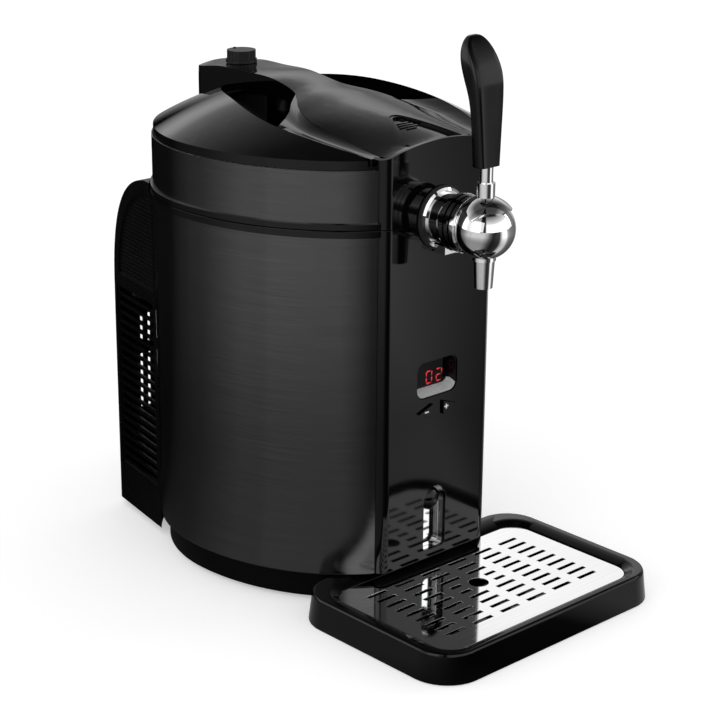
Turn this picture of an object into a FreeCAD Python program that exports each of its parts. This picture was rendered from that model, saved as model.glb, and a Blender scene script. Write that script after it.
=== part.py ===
import FreeCAD, Part
import math
import os

os.makedirs("parts", exist_ok=True)

# Mini keg beer dispenser: an insulated tub with a thermoelectric cooler behind it, a hinged lid
# with a carrying bridge, a chrome tap in the seam of the front column and a drip tray before it.
#
# Millimetres, +Z up, -Y is the tap side. The pieces are laid out about the keg's axis (X = Y = 0,
# Z = 0 on the table) and export() moves them, so that the origin is the centre of the footprint.

# ---------------------------------------------------------------- driving dimensions
# cabinet plan: a half circle behind, a half ellipse in front, a flat column on the ellipse's nose
BODY_R = 129.0
BODY_NOSE = 155.0
COLUMN_HALF_W = 58.5
COLUMN_BEHIND_NOSE = 10.0
COLUMN_FRONT = BODY_NOSE - COLUMN_BEHIND_NOSE
COLUMN_CORNER_R = 8.0
COLUMN_CAVITY = 16.0
PANEL_T = 3.0

# heights
FOOT_H = 3.0
FOOT_R = 9.0
BASE_H = 22.0
FLOOR_T = 3.0
SLEEVE_H = 270.4
SHEET_T = 0.8
COLLAR_H = 5.5
COLLAR_PROUD = 2.0
COLLAR_W = 6.0
SEAM_GAP = 0.6
LIP_H = 4.7
BAND_H = 39.5
BASE_INSET = 7.0
BASE_WALL = 3.0

# keg well
KEG_R = 86.0
KEG_CLEARANCE = 2.0
WELL_WALL = 1.5
WELL_FLOOR_UP = 6.5
KEG_MAT_R = 60.0
KEG_MAT_T = 1.5
DECK_T = 3.0

# clearances
SKIN_GAP = 0.2
JOINT_GAP = 0.3
PIN_CLEARANCE = 0.05
MOVING_GAP = 0.5

# lid
LID_SHELL_T = 3.0
DOME_INSET = 1.5
DOME_LIP_H = 7.3
DOME_RISE = 36.0
PAN_FLOOR_UP = 3.3
PAN_WALL = 2.5
PAN_OUTLINE = ((-90.0, 41.0), (-56.7, 52.4), (-14.6, 57.7), (23.2, 40.8), (48.1, 23.3), (61.6, 9.1))
LID_CAVITY_R = 92.0
LID_CAVITY_H = 39.5
LINER_T = 2.0
SEAL_R = 97.0
SEAL_W = 6.0
ARCH_RISE = 8.5
ARCH_SHOULDER_UP = 8.6

# bridge handle on the lid
BRIDGE_HALF_W = 22.5
BRIDGE_TOP_UP = 42.5
BRIDGE_UNDER_UP = 25.8
BRIDGE_REAR_INSET = 5.0
BRIDGE_CORNER_R = 10.0
FINGER_GAP_FRONT = -4.0
FINGER_GAP_REAR = 82.0
SPINE_HALF_W = 56.5

# regulator knob on the bridge
KNOB_Y = 88.5
KNOB_R = 11.9
KNOB_H = 10.0
KNOB_FLANGE_R = 12.9
KNOB_FLANGE_H = 2.6
KNOB_RIBS = 24
KNOB_RIB_DEPTH = 0.7
SPINDLE_R = 3.0
SPINDLE_L = 12.0

# lid release button and latch
RELEASE_REAR_Y = 54.0 - COLUMN_FRONT
RELEASE_FRONT_Y = 5.0 - COLUMN_FRONT
RELEASE_HALF_W = 32.0
RELEASE_CORNER_R = 8.0
RELEASE_RIM_W = 2.4
RELEASE_RIM_SINK = 0.8
RELEASE_SINK = 2.8
RELEASE_T = 3.4
RELEASE_DIMPLE_R = 1.7
RELEASE_DIMPLE_DEPTH = 0.8
RELEASE_TRAVEL = 1.8
LATCH_X = 34.0
LATCH_W = 10.0
LATCH_T = 4.0
LATCH_REACH = 9.0
LATCH_NOSE = 1.2
LATCH_BAR_H = 10.0
LATCH_BAR_DROP = 8.0
LATCH_TRAVEL = 2.0
LATCH_PIN_R = 2.0
LATCH_PIN_X = 18.0

# hinge at the back of the lid
HINGE_BACK = 10.0
HINGE_DROP = 2.0
KNUCKLE_R = 4.5
HINGE_PIN_R = 2.0
HINGE_HALF_L = 45.0
KNUCKLE_EDGES = (8.0, 29.5)

# tap
TAP_Y = COLUMN_FRONT + 45.5
SHANK_R = 11.0
SHANK_REAR = COLUMN_FRONT - 41.0
GASKET_R = 24.8
GASKET_T = 1.2
FLANGE_R = 23.2
FLANGE_T = 3.0
TAP_COLLAR_R = 19.6
TAP_COLLAR_FRONT = COLUMN_FRONT + 14.5
NECK_R = 14.0
RING_REAR = COLUMN_FRONT + 19.5
RING_R = 22.6
RING_STEP = 0.5
RING_T = 3.6
RING_GROOVE = 1.2
RING_COUNT = 3
RING_GROOVE_R = 18.5
BALL_R = 23.0
LUG_HALF_W = 7.5
LUG_DROP = 2.6
BORE_R = 4.0
BONNET_T = 2.0
BONNET_EDGE_UP = 16.0
BONNET_POINT = 5.2
BONNET_POINT_FORWARD = 5.8
STEM_COLLAR_R = 6.8
STEM_COLLAR_H = 11.0
STEM_R = 5.0
STEM_TENON_R = 3.5
VALVE_PIN_R = 2.0
VALVE_PIN_LOW = 17.0
LEVER_ANGLE = 30.0
SLOT_MARGIN = 1.5
HANDLE_BOTTOM_UP = 47.0
HANDLE_H = 95.0
# the handle's sections: share of its height, width, depth, set-back behind the stem's axis
HANDLE_SECTIONS = (
    (0.0, 20.5, 10.7, 0.7), (0.4, 24.3, 12.1, 2.1), (0.58, 26.9, 14.4, 3.9), (0.69, 28.7, 16.8, 6.2),
    (0.8, 29.4, 17.4, 8.6), (0.9, 29.4, 16.2, 9.6), (1.0, 29.4, 14.0, 10.0),
)
HANDLE_EDGE_R = 2.4
HANDLE_SOCKET = 12.0
NOZZLE_TOP_R = 9.0
NOZZLE_TIP_R = 7.0
NOZZLE_LOW = 45.0
NOZZLE_BORE_R = 5.0
HOSE_R = 6.0
HOSE_LEN = 24.0
BARB_R = 3.5

# display, buttons and light slot in the column front
DISPLAY_Z = 177.2
DISPLAY_W = 44.0
DISPLAY_H = 30.5
DISPLAY_R = 8.0
DISPLAY_DEPTH = 8.5
DISPLAY_RIM = 1.0
DISPLAY_TAPER = 2.0
DISPLAY_LEDGE_H = 5.0
WINDOW_W = 33.0
WINDOW_H = 19.5
WINDOW_UP = 1.6
WINDOW_T = 1.6
BUTTON_Z = 151.3
BUTTON_INNER_X = 5.5
BUTTON_OUTER_X = 21.0
BUTTON_HALF_H = 5.5
BUTTON_TRAVEL = 1.0
BUTTON_PROUD = 2.2
SLOT_Z0 = 32.5
SLOT_Z1 = 86.0
SLOT_HALF_W = 12.0
SLOT_DEPTH = 9.0
SLOT_WALL = 1.2
SLOT_CAP_R = 9.5
BOARD_W = 70.0
BOARD_H = 78.0
BOARD_T = 1.6

# drip tray and grate
TRAY_UNDER = 33.0
TRAY_LENGTH = 168.0
TRAY_BACK_GAP = 0.8
TRAY_SIDE_INSET = 6.7
TRAY_H = 24.3
TRAY_CORNER_R = 32.0
TRAY_DRAFT = 2.6
TRAY_EDGE_R = 3.0
TRAY_FLOOR_T = 3.0
TRAY_LEDGE_W = 5.0
GRATE_SIDE_INSET = 18.8
GRATE_FRONT_INSET = 15.5
GRATE_REAR_INSET = 24.0
GRATE_TOP = 19.8
GRATE_T = 1.2
GRATE_CORNER_R = 17.0
GRATE_FIT = 0.4
GRATE_SLOT_L = 19.5
GRATE_SLOT_W = 3.6
GRATE_SLOT_PITCH_X = 29.5
GRATE_SLOT_PITCH_Y = 10.6
GRATE_COLUMNS = 6
GRATE_ROWS = 9
GRATE_FIRST_ROW = 21.2
GRATE_HOLE_R = 8.0
GRATE_HOLE_BACK = 58.8

# cooler housing behind the cabinet
HOUSING_DEPTH = 33.0
HOUSING_ROOM = 8.5
HOUSING_LEAN = 5.5
HOUSING_SIDE_ANGLE = 34.7
HOUSING_SIDE_SUNK = 2.5
HOUSING_NARROWING = 18.0
HOUSING_CORNER_R = 9.0
HOUSING_WALL = 2.5
HOUSING_LOW = 6.0
HOUSING_RISE = 7.6
HOUSING_SHOULDER_H = 98.0
HOUSING_SHOULDER_DEPTH = 62.0
LID_SWEEP_GAP = 3.2
LOUVRE_Z0 = 46.0
LOUVRE_ROWS = 20
LOUVRE_PITCH = 8.0
LOUVRE_SLOT_H = 4.8
LOUVRE_FROM_FRONT = 13.5
LOUVRE_FROM_REAR = 14.0
RIB_DROP = 82.0
RIB_COUNT = 23
RIB_PITCH = 3.4
RIB_DEPTH = 0.7
PANEL_SINK = 0.8
PANEL_BORDER = 3.0
PANEL_EDGE = 9.0
REAR_SLOT_W = 4.0
REAR_SLOT_PITCH = 8.0
REAR_SLOT_COLUMNS = 16
REAR_SLOT_ROWS = ((84.0, 134.0), (144.0, 170.0))

# cooler
COOLER_Z = 127.0
COLD_BLOCK_SIZE = 40.0
COLD_BLOCK_DEPTH = 11.3
MODULE_T = 4.0
SINK_SIZE = 84.0
SINK_BASE_T = 5.0
SINK_FIN_H = 24.0
SINK_FIN_T = 1.4
SINK_FINS = 15
BAY_MARGIN = 4.0
FAN_SIZE = 80.0
FAN_T = 19.0
FAN_GAP = 0.3
FAN_HOLE_R = 38.5
FAN_BLADE_R = 37.0
FAN_HUB_R = 16.0
FAN_BLADES = 7
FAN_BLADE_T = 1.6
FAN_SHAFT_R = 2.0
INLET_X = 50.0
INLET_Z = 32.0
INLET_W = 28.0
INLET_H = 21.0
INLET_DEPTH = 20.0
SCREW_R = 3.6
SCREW_LEN = 8.0
SCREW_INSET = 19.0
SCREW_RISE = 54.0

# ---------------------------------------------------------------- levels worked out from them
FLOOR_Z = FOOT_H + BASE_H
SLEEVE_Z0 = FLOOR_Z + 1.0
SLEEVE_Z1 = FLOOR_Z + FLOOR_T + SLEEVE_H
COLLAR_Z1 = SLEEVE_Z1 + COLLAR_H
LID_Z0 = COLLAR_Z1 + SEAM_GAP
LIP_Z1 = LID_Z0 + LIP_H
BAND_Z1 = LIP_Z1 + BAND_H
RIM_Z = BAND_Z1 + DOME_LIP_H
BRIDGE_REAR = BODY_R - BRIDGE_REAR_INSET
PAN_Z = BAND_Z1 + PAN_FLOOR_UP
BRIDGE_Z = BAND_Z1 + BRIDGE_TOP_UP
BRIDGE_UNDER_Z = BAND_Z1 + BRIDGE_UNDER_UP
TAP_Z = LID_Z0 + 0.8
HINGE_Z = COLLAR_Z1 - HINGE_DROP
WELL_R = KEG_R + KEG_CLEARANCE
WELL_Z0 = FLOOR_Z + FLOOR_T + WELL_FLOOR_UP
PANEL_INNER = COLUMN_FRONT - PANEL_T
CAVITY_REAR = PANEL_INNER - COLUMN_CAVITY
PANEL_REAR = CAVITY_REAR + 4.0
TALL = 600.0
COLD_BLOCK_REACH = WELL_R + WELL_WALL + SKIN_GAP + COLD_BLOCK_DEPTH
HINGE_Y = BODY_R + HINGE_BACK
COOLER_DEPTH = MODULE_T + SINK_BASE_T + SINK_FIN_H + FAN_GAP + FAN_T
HOUSING_REAR = max(BODY_R + HOUSING_DEPTH, COLD_BLOCK_REACH + COOLER_DEPTH + HOUSING_ROOM)
HOUSING_SIDE_FRONT_X = (BODY_R - HOUSING_SIDE_SUNK) * math.cos(math.radians(HOUSING_SIDE_ANGLE))
HOUSING_SIDE_FRONT_Y = (BODY_R - HOUSING_SIDE_SUNK) * math.sin(math.radians(HOUSING_SIDE_ANGLE))
HOUSING_SIDE_REAR_X = HOUSING_SIDE_FRONT_X - HOUSING_NARROWING
HOUSING_TOP = SLEEVE_Z1 + HOUSING_RISE
HOUSING_SHOULDER_Z = HOUSING_TOP - HOUSING_SHOULDER_H
LOUVRE_Y0 = HOUSING_SIDE_FRONT_Y + LOUVRE_FROM_FRONT
LOUVRE_Y1 = HOUSING_REAR - LOUVRE_FROM_REAR
RIB_Z0 = SLEEVE_Z1 - RIB_DROP
TRAY_REAR = COLUMN_FRONT - TRAY_UNDER
TRAY_FRONT = TRAY_REAR + TRAY_LENGTH
BASE_FRONT = TRAY_REAR - TRAY_BACK_GAP
TRAY_HALF_W = BODY_R - TRAY_SIDE_INSET
GRATE_HALF_W = TRAY_HALF_W - GRATE_SIDE_INSET
GRATE_FRONT = TRAY_FRONT - GRATE_FRONT_INSET
GRATE_REAR = TRAY_REAR + GRATE_REAR_INSET
GRATE_HOLE_Y = GRATE_REAR + GRATE_HOLE_BACK
FOOTPRINT_SHIFT = (TRAY_FRONT - HOUSING_REAR) / 2.0


# ---------------------------------------------------------------- helpers
def vec(x, y, z):
    return FreeCAD.Vector(x, y, z)


def box(x0, x1, y0, y1, z0, z1):
    return Part.makeBox(x1 - x0, y1 - y0, z1 - z0, vec(x0, y0, z0))


def disc(radius, z0, z1, x=0.0, y=0.0):
    return Part.makeCylinder(radius, z1 - z0, vec(x, y, z0))


def rod_y(radius, y0, y1, x=0.0, z=0.0):
    return Part.makeCylinder(radius, y1 - y0, vec(x, y0, z), vec(0, 1, 0))


def rod_x(radius, x0, x1, y, z):
    return Part.makeCylinder(radius, x1 - x0, vec(x0, y, z), vec(1, 0, 0))


def prism(wire, height):
    return Part.Face(wire).extrude(vec(0, 0, height))


def closed(points):
    return Part.makePolygon(list(points) + [points[0]])


def fuse_all(shapes):
    result = shapes[0]
    for shape in shapes[1:]:
        result = result.fuse(shape)
    return result.removeSplitter()


def cut_all(shape, tools):
    return shape.cut(Part.makeCompound(tools))


def mirrored(shape):
    return shape.mirror(vec(0, 0, 0), vec(1, 0, 0))


def both_sides(shape):
    return Part.makeCompound([shape, mirrored(shape)])


def rounded_wire(x0, x1, y0, y1, radius, z):
    """Rectangle in the XY plane with four round corners."""
    k = radius * (1.0 - math.sqrt(0.5))
    corners = (
        ((x1 - radius, y0), (x1 - k, y0 + k), (x1, y0 + radius)),
        ((x1, y1 - radius), (x1 - k, y1 - k), (x1 - radius, y1)),
        ((x0 + radius, y1), (x0 + k, y1 - k), (x0, y1 - radius)),
        ((x0, y0 + radius), (x0 + k, y0 + k), (x0 + radius, y0)),
    )
    edges = []
    for index, (start, middle, end) in enumerate(corners):
        edges.append(Part.Arc(vec(*start, z), vec(*middle, z), vec(*end, z)).toShape())
        following = corners[(index + 1) % 4][0]
        edges.append(Part.makeLine(vec(*end, z), vec(*following, z)))
    return Part.Wire(edges)


def rounded_prism(x0, x1, y0, y1, z0, z1, radius):
    return prism(rounded_wire(x0, x1, y0, y1, radius, z0), z1 - z0)


def upright_prism(x0, x1, z0, z1, y0, y1, radius):
    """Rounded rectangle standing in the XZ plane, extruded along Y from y0 to y1."""
    solid = rounded_prism(x0, x1, -z1, -z0, 0.0, y1 - y0, radius)
    solid.rotate(vec(0, 0, 0), vec(1, 0, 0), -90)
    solid.translate(vec(0, y0, 0))
    return solid


def upright_wire(x0, x1, z0, z1, radius, y):
    """Rounded rectangle standing in the XZ plane at one y."""
    wire = rounded_wire(x0, x1, -z1, -z0, radius, 0.0)
    wire.rotate(vec(0, 0, 0), vec(1, 0, 0), -90)
    wire.translate(vec(0, y, 0))
    return wire


def egg_wire(offset, z):
    half = BODY_R + offset
    nose = BODY_NOSE + offset
    ellipse = Part.Ellipse(vec(0, -nose, z), vec(half, 0, z), vec(0, 0, z))
    front = Part.ArcOfEllipse(ellipse, -math.pi / 2, math.pi / 2).toShape()
    rear = Part.Arc(vec(half, 0, z), vec(0, half, z), vec(-half, 0, z)).toShape()
    return Part.Wire([front, rear])


def egg_prism(offset, z0, z1):
    return prism(egg_wire(offset, z0), z1 - z0)


def column_prism(offset, z0, z1):
    """The column's plan: flat front, two round vertical corners, run back into the egg."""
    half = COLUMN_HALF_W + offset
    front = -COLUMN_FRONT - offset
    radius = max(COLUMN_CORNER_R + offset, 1.0)
    return rounded_prism(-half, half, front, -COLUMN_HALF_W, z0, z1, radius)


def column_zone(gap):
    """Everything in front of the well between the column's sides, for cutting egg pieces."""
    half = COLUMN_HALF_W + gap
    return box(-half, half, -BODY_NOSE - 20.0, -COLUMN_HALF_W, -1.0, TALL)


def body_prism(offset, z0, z1):
    """Inner plan: the egg behind the column front, and the column inside its panel."""
    half = COLUMN_HALF_W + SKIN_GAP
    panel_room = box(-half, half, -BODY_NOSE - 20.0, -PANEL_REAR + SKIN_GAP, -1.0, TALL)
    egg = egg_prism(offset, z0, z1).cut(panel_room)
    return fuse_all([egg, column_prism(-PANEL_T - SKIN_GAP, z0, z1)])


def egg_turn(wire):
    """Solid of revolution whose front half is drawn out to the egg's nose."""
    turned = Part.Face(wire).revolve(vec(0, 0, 0), vec(0, 0, 1), 360)
    rear = turned.common(box(-TALL, TALL, 0, TALL, -1.0, TALL))
    front = turned.common(box(-TALL, TALL, -TALL, 0, -1.0, TALL))
    stretch = FreeCAD.Matrix()
    stretch.scale(1.0, BODY_NOSE / BODY_R, 1.0)
    return rear.fuse(front.transformGeometry(stretch))


def blend(stations, y, column):
    """Value of one column of a station table at y, along straight lines."""
    for low, high in zip(stations, stations[1:]):
        if low[0] <= y <= high[0]:
            share = (y - low[0]) / (high[0] - low[0])
            return low[column] + share * (high[column] - low[column])
    return stations[-1][column]


PARTS = []


def export(name, shape):
    solid = shape.copy()
    solid.translate(vec(0, FOOTPRINT_SHIFT, 0))
    if not solid.isValid():
        print("not valid:", name)
    solid.exportStep("parts/" + name + ".step")
    PARTS.append(name)
    print(name, len(solid.Solids), round(solid.Volume / 1000.0, 2), "cm3")


# ---------------------------------------------------------------- base, feet and floor
def base():
    outer = egg_prism(-BASE_INSET, FOOT_H, FLOOR_Z)
    inner = egg_prism(-BASE_INSET - BASE_WALL, FOOT_H - 1.0, FLOOR_Z - BASE_WALL)
    shell = outer.cut(inner)
    front_wall = egg_prism(-BASE_INSET, FOOT_H, FLOOR_Z)
    front_wall = front_wall.common(box(-TALL, TALL, -BASE_FRONT, -BASE_FRONT + BASE_WALL, 0, TALL))
    ribs = [box(-TALL, TALL, y, y + 2.0, FOOT_H + 3.0, FLOOR_Z) for y in (-50.0, 10.0, 70.0)]
    cross = Part.makeCompound(ribs).common(outer)
    solid = fuse_all([shell, front_wall, cross])
    return solid.common(box(-TALL, TALL, -BASE_FRONT, TALL, 0, TALL))


def bottom_plate():
    plate = egg_prism(-BASE_INSET - BASE_WALL - SKIN_GAP, FOOT_H, FOOT_H + 2.0)
    plate = plate.common(box(-TALL, TALL, -BASE_FRONT + BASE_WALL + SKIN_GAP, TALL, 0, TALL))
    slots = []
    for index in range(7):
        x = (index - 3) * 12.0
        slots.append(rounded_prism(x - 2.0, x + 2.0, -20.0, 30.0, FOOT_H - 1.0, FOOT_H + 3.0, 1.9))
    return cut_all(plate, slots)


def foot_pads():
    rear = disc(FOOT_R, 0, FOOT_H, BODY_R * 0.62, BODY_R * 0.45)
    front = disc(FOOT_R, 0, FOOT_H, BODY_R * 0.62, -BODY_R * 0.55)
    return Part.makeCompound([both_sides(rear), both_sides(front)])


def cabinet_floor():
    return body_prism(-SHEET_T - SKIN_GAP, FLOOR_Z, FLOOR_Z + FLOOR_T)


# ---------------------------------------------------------------- tub
def outer_sleeve():
    sheet = egg_prism(0, SLEEVE_Z0, SLEEVE_Z1).cut(egg_prism(-SHEET_T, 0, TALL))
    window = cooler_bay(0.0)
    return sheet.cut(column_zone(SKIN_GAP)).cut(window)


def cooler_bay(margin):
    half = SINK_SIZE / 2.0 + BAY_MARGIN - margin
    low = COOLER_Z - half
    return box(-half, half, COLD_BLOCK_REACH, TALL, low, COOLER_Z + half)


def shank_channel(radius):
    return rod_y(radius, -BODY_NOSE, -LID_CAVITY_R + 20.0, 0, TAP_Z)


def foam_body():
    z0 = FLOOR_Z + FLOOR_T
    foam = body_prism(-SHEET_T - SKIN_GAP, z0, SLEEVE_Z1)
    well = disc(WELL_R + WELL_WALL + SKIN_GAP, WELL_Z0 - WELL_WALL, TALL)
    half = COLUMN_HALF_W - PANEL_T - SKIN_GAP
    cavity = box(-half, half, -BODY_NOSE, -CAVITY_REAR, 0, TALL)
    block = COLD_BLOCK_SIZE / 2.0 + SKIN_GAP
    block_hole = box(-block, block, 0, COLD_BLOCK_REACH + 1, COOLER_Z - block, COOLER_Z + block)
    tools = [well, cavity, block_hole, cooler_bay(0.0), shank_channel(SHANK_R + 1.5)]
    return cut_all(foam, tools)


def keg_well():
    outer = disc(WELL_R + WELL_WALL, WELL_Z0 - WELL_WALL, SLEEVE_Z1)
    inner = disc(WELL_R, WELL_Z0, TALL)
    return outer.cut(inner).cut(shank_channel(SHANK_R + 1.5))


def keg_mat():
    mat = disc(KEG_MAT_R, WELL_Z0, WELL_Z0 + KEG_MAT_T)
    rings = []
    for radius in (20.0, 34.0, 48.0):
        groove = disc(radius + 2.0, WELL_Z0 + 0.7, TALL).cut(disc(radius, 0, TALL))
        rings.append(groove)
    return cut_all(mat, rings)


def latch_slots(gap):
    x0 = LATCH_X - LATCH_W / 2.0 - gap
    x1 = LATCH_X + LATCH_W / 2.0 + gap
    y0 = -latch_front() - LATCH_NOSE - gap
    y1 = y0 + LATCH_NOSE + LATCH_T + LATCH_TRAVEL + 2.0 * gap
    return both_sides(box(x0, x1, y0, y1, 0, BAND_Z1 - 2.0))


def latch_front():
    return PANEL_INNER - 4.0


def top_deck():
    z0 = SLEEVE_Z1
    deck = body_prism(COLLAR_PROUD - COLLAR_W - SKIN_GAP, z0, z0 + DECK_T)
    tools = [disc(WELL_R, 0, TALL), shank_channel(SHANK_R + 1.5), latch_slots(MOVING_GAP)]
    return cut_all(deck, tools)


def body_collar():
    z0 = SLEEVE_Z1
    ring = egg_prism(COLLAR_PROUD, z0, COLLAR_Z1)
    ring = ring.cut(egg_prism(COLLAR_PROUD - COLLAR_W, 0, TALL))
    return ring.cut(column_zone(SKIN_GAP))


# ---------------------------------------------------------------- column front
def column_skin(z0, z1):
    outer = column_prism(0, z0, z1)
    inner = column_prism(-PANEL_T, z0 - 1.0, z1 + 1.0)
    return outer.cut(inner).common(box(-TALL, TALL, -TALL, -PANEL_REAR, 0, TALL))


def display_cut(shrink, y0, y1):
    half_w = DISPLAY_W / 2.0 - shrink
    half_h = DISPLAY_H / 2.0 - shrink
    radius = max(DISPLAY_R - shrink, 1.0)
    return upright_prism(-half_w, half_w, DISPLAY_Z - half_h, DISPLAY_Z + half_h, y0, y1, radius)


def slot_cut(grow, y0, y1):
    """Tall slot with a half-round top and two small round lower corners."""
    half = SLOT_HALF_W + grow
    low = SLOT_Z0 - grow
    centre = SLOT_Z1 - SLOT_HALF_W
    lower = upright_prism(-half, half, low, centre + 4.0, y0, y1, 4.0 + grow)
    lower = lower.common(box(-TALL, TALL, -TALL, TALL, 0, centre))
    return lower.fuse(rod_y(half, y0, y1, 0, centre)).removeSplitter()


def triangle(side, grow, y0, y1):
    """Button outline: upright inner edge, point away from the middle."""
    inner = side * (BUTTON_INNER_X - grow)
    outer = side * (BUTTON_OUTER_X + 2.2 * grow)
    half = BUTTON_HALF_H + 1.4 * grow
    points = [
        vec(inner, y0, BUTTON_Z - half),
        vec(inner, y0, BUTTON_Z + half),
        vec(outer, y0, BUTTON_Z),
    ]
    return Part.Face(closed(points)).extrude(vec(0, y1 - y0, 0))


def front_panel():
    skin = column_skin(FLOOR_Z + 1.0, COLLAR_Z1)
    front = -COLUMN_FRONT - 1.0
    tools = [
        display_cut(0.0, front, -CAVITY_REAR),
        slot_cut(0.0, front, -CAVITY_REAR),
        triangle(-1, 0.25, front, -CAVITY_REAR),
        triangle(1, 0.25, front, -CAVITY_REAR),
        shank_channel(SHANK_R + JOINT_GAP),
    ]
    return cut_all(skin, tools)


def display_bezel():
    """Recess with a sloping lower ledge, closed at the back by the lens."""
    front = -COLUMN_FRONT + 1.0
    back = -COLUMN_FRONT + DISPLAY_DEPTH
    body = display_cut(SKIN_GAP, front, back + 1.2)
    half_w = DISPLAY_W / 2.0 - DISPLAY_RIM
    low, high = DISPLAY_Z - DISPLAY_H / 2.0 + DISPLAY_RIM, DISPLAY_Z + DISPLAY_H / 2.0 - DISPLAY_RIM
    mouth = upright_wire(-half_w, half_w, low, high, DISPLAY_R - DISPLAY_RIM, front - 0.01)
    half_w, low, high = half_w - DISPLAY_TAPER, low + DISPLAY_LEDGE_H, high - 0.5
    end = upright_wire(-half_w, half_w, low, high, DISPLAY_R - 2.0 * DISPLAY_RIM, back)
    hollow = Part.makeLoft([mouth, end], True, True)
    w = WINDOW_W / 2.0
    low = DISPLAY_Z - WINDOW_H / 2.0 + WINDOW_UP
    lens = upright_prism(-w, w, low, low + WINDOW_H, -TALL, TALL, 2.0)
    return body.cut(hollow).cut(lens)


def display_window():
    w = WINDOW_W / 2.0 - SKIN_GAP
    low = DISPLAY_Z - WINDOW_H / 2.0 + WINDOW_UP + SKIN_GAP
    high = low + WINDOW_H - 2.0 * SKIN_GAP
    y0 = -COLUMN_FRONT + DISPLAY_DEPTH - 0.4
    return upright_prism(-w, w, low, high, y0, y0 + WINDOW_T, 1.8)


def board_front():
    return -COLUMN_FRONT + DISPLAY_DEPTH + WINDOW_T + 1.0


def control_board():
    """Circuit board with the display block and two push switches on its face."""
    y0 = board_front() + 2.4
    z0 = BUTTON_Z - 20.0
    plate = box(-BOARD_W / 2.0, BOARD_W / 2.0, y0, y0 + BOARD_T, z0, z0 + BOARD_H)
    w = WINDOW_W / 2.0 - 1.0
    low = DISPLAY_Z - WINDOW_H / 2.0 + WINDOW_UP + 1.0
    block = box(-w, w, board_front(), y0, low, low + WINDOW_H - 2.0)
    centre = (BUTTON_INNER_X + BUTTON_OUTER_X) / 2.0 - 2.0
    switch = rod_y(1.6, -PANEL_INNER + 3.6 + BUTTON_TRAVEL, y0, centre, BUTTON_Z)
    base_block = box(centre - 3, centre + 3, y0 - 1.4, y0, BUTTON_Z - 3, BUTTON_Z + 3)
    standoffs = []
    for x in (-BOARD_W / 2.0 + 4.0, BOARD_W / 2.0 - 4.0):
        for z in (z0 + 4.0, z0 + BOARD_H - 4.0):
            standoffs.append(rod_y(2.5, y0 + BOARD_T, -CAVITY_REAR, x, z))
    pieces = [plate, block, switch, base_block, mirrored(switch), mirrored(base_block)]
    return fuse_all(pieces + standoffs)


def button(side):
    """Triangular key that stands proud of the panel; a flange keeps it in."""
    face = -COLUMN_FRONT - BUTTON_PROUD
    key = triangle(side, 0.0, face, -PANEL_INNER + 0.4)
    flange = triangle(side, 1.2, -PANEL_INNER + 0.4, -PANEL_INNER + 1.6)
    centre = (BUTTON_INNER_X + BUTTON_OUTER_X) / 2.0 - 2.0
    plunger = rod_y(2.2, -PANEL_INNER + 1.6, -PANEL_INNER + 3.3, side * centre, BUTTON_Z)
    return fuse_all([key, flange, plunger])


def slot_liner():
    """Bright cup behind the slot: a back plate with a thin wall all round."""
    y0 = -PANEL_INNER + SKIN_GAP
    y1 = -COLUMN_FRONT + SLOT_DEPTH
    outer = slot_cut(SLOT_WALL + 1.0, y0, y1 + SLOT_WALL)
    return outer.cut(slot_cut(1.0, -TALL, y1))


def slot_cap():
    """Black domed cap at the slot's upper end, standing on the back plate."""
    z = SLOT_Z1 - SLOT_HALF_W
    y1 = -COLUMN_FRONT + SLOT_DEPTH
    stub = rod_y(SLOT_CAP_R, y1 - 4.0, y1, 0, z)
    sphere = Part.makeSphere(SLOT_CAP_R * 1.25, vec(0, y1 - 4.0 + SLOT_CAP_R * 0.75, z))
    dome = sphere.common(box(-TALL, TALL, -TALL, y1 - 4.0, 0, TALL))
    return stub.fuse(dome)


# ---------------------------------------------------------------- tap
def ring_front():
    return RING_REAR + RING_COUNT * RING_T + (RING_COUNT - 1) * RING_GROOVE


def tap_shank():
    """Threaded tube that lies in the seam, with a hose barb at its inner end."""
    tube = rod_y(SHANK_R, -COLUMN_FRONT, -SHANK_REAR, 0, TAP_Z)
    barb = rod_y(BARB_R, -SHANK_REAR, -SHANK_REAR + 10.0, 0, TAP_Z)
    ring = rod_y(BARB_R + 0.6, -SHANK_REAR + 2.0, -SHANK_REAR + 3.0, 0, TAP_Z)
    nut_face = rod_y(SHANK_R + 1.0, -CAVITY_REAR - 6.0, -CAVITY_REAR - 2.0, 0, TAP_Z)
    bore = rod_y(2.0, -COLUMN_FRONT - 1.0, 0, 0, TAP_Z)
    return fuse_all([tube, barb, ring, nut_face]).cut(bore)


def tap_gasket():
    """Thin seal between the column and the flange."""
    y1 = -COLUMN_FRONT - JOINT_GAP
    ring = rod_y(GASKET_R, y1 - GASKET_T, y1, 0, TAP_Z)
    return ring.cut(rod_y(BORE_R, -TALL, 0, 0, TAP_Z))


def flange_rear():
    return -COLUMN_FRONT - JOINT_GAP - GASKET_T


def tap_flange():
    """Cover plate with a bevelled edge and a square lug below."""
    y1 = flange_rear()
    plate = rod_y(FLANGE_R, y1 - FLANGE_T + 1.2, y1, 0, TAP_Z)
    bevel = Part.makeCone(FLANGE_R, FLANGE_R - 2.0, 1.2, vec(0, y1 - FLANGE_T + 1.2, TAP_Z), vec(0, -1, 0))
    low = TAP_Z - FLANGE_R - LUG_DROP
    lug = box(-LUG_HALF_W, LUG_HALF_W, -TAP_COLLAR_FRONT + 2.0, y1, low, TAP_Z - TAP_COLLAR_R)
    joined = fuse_all([plate, bevel, lug])
    return joined.cut(rod_y(BORE_R, -TALL, 0, 0, TAP_Z))


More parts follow.
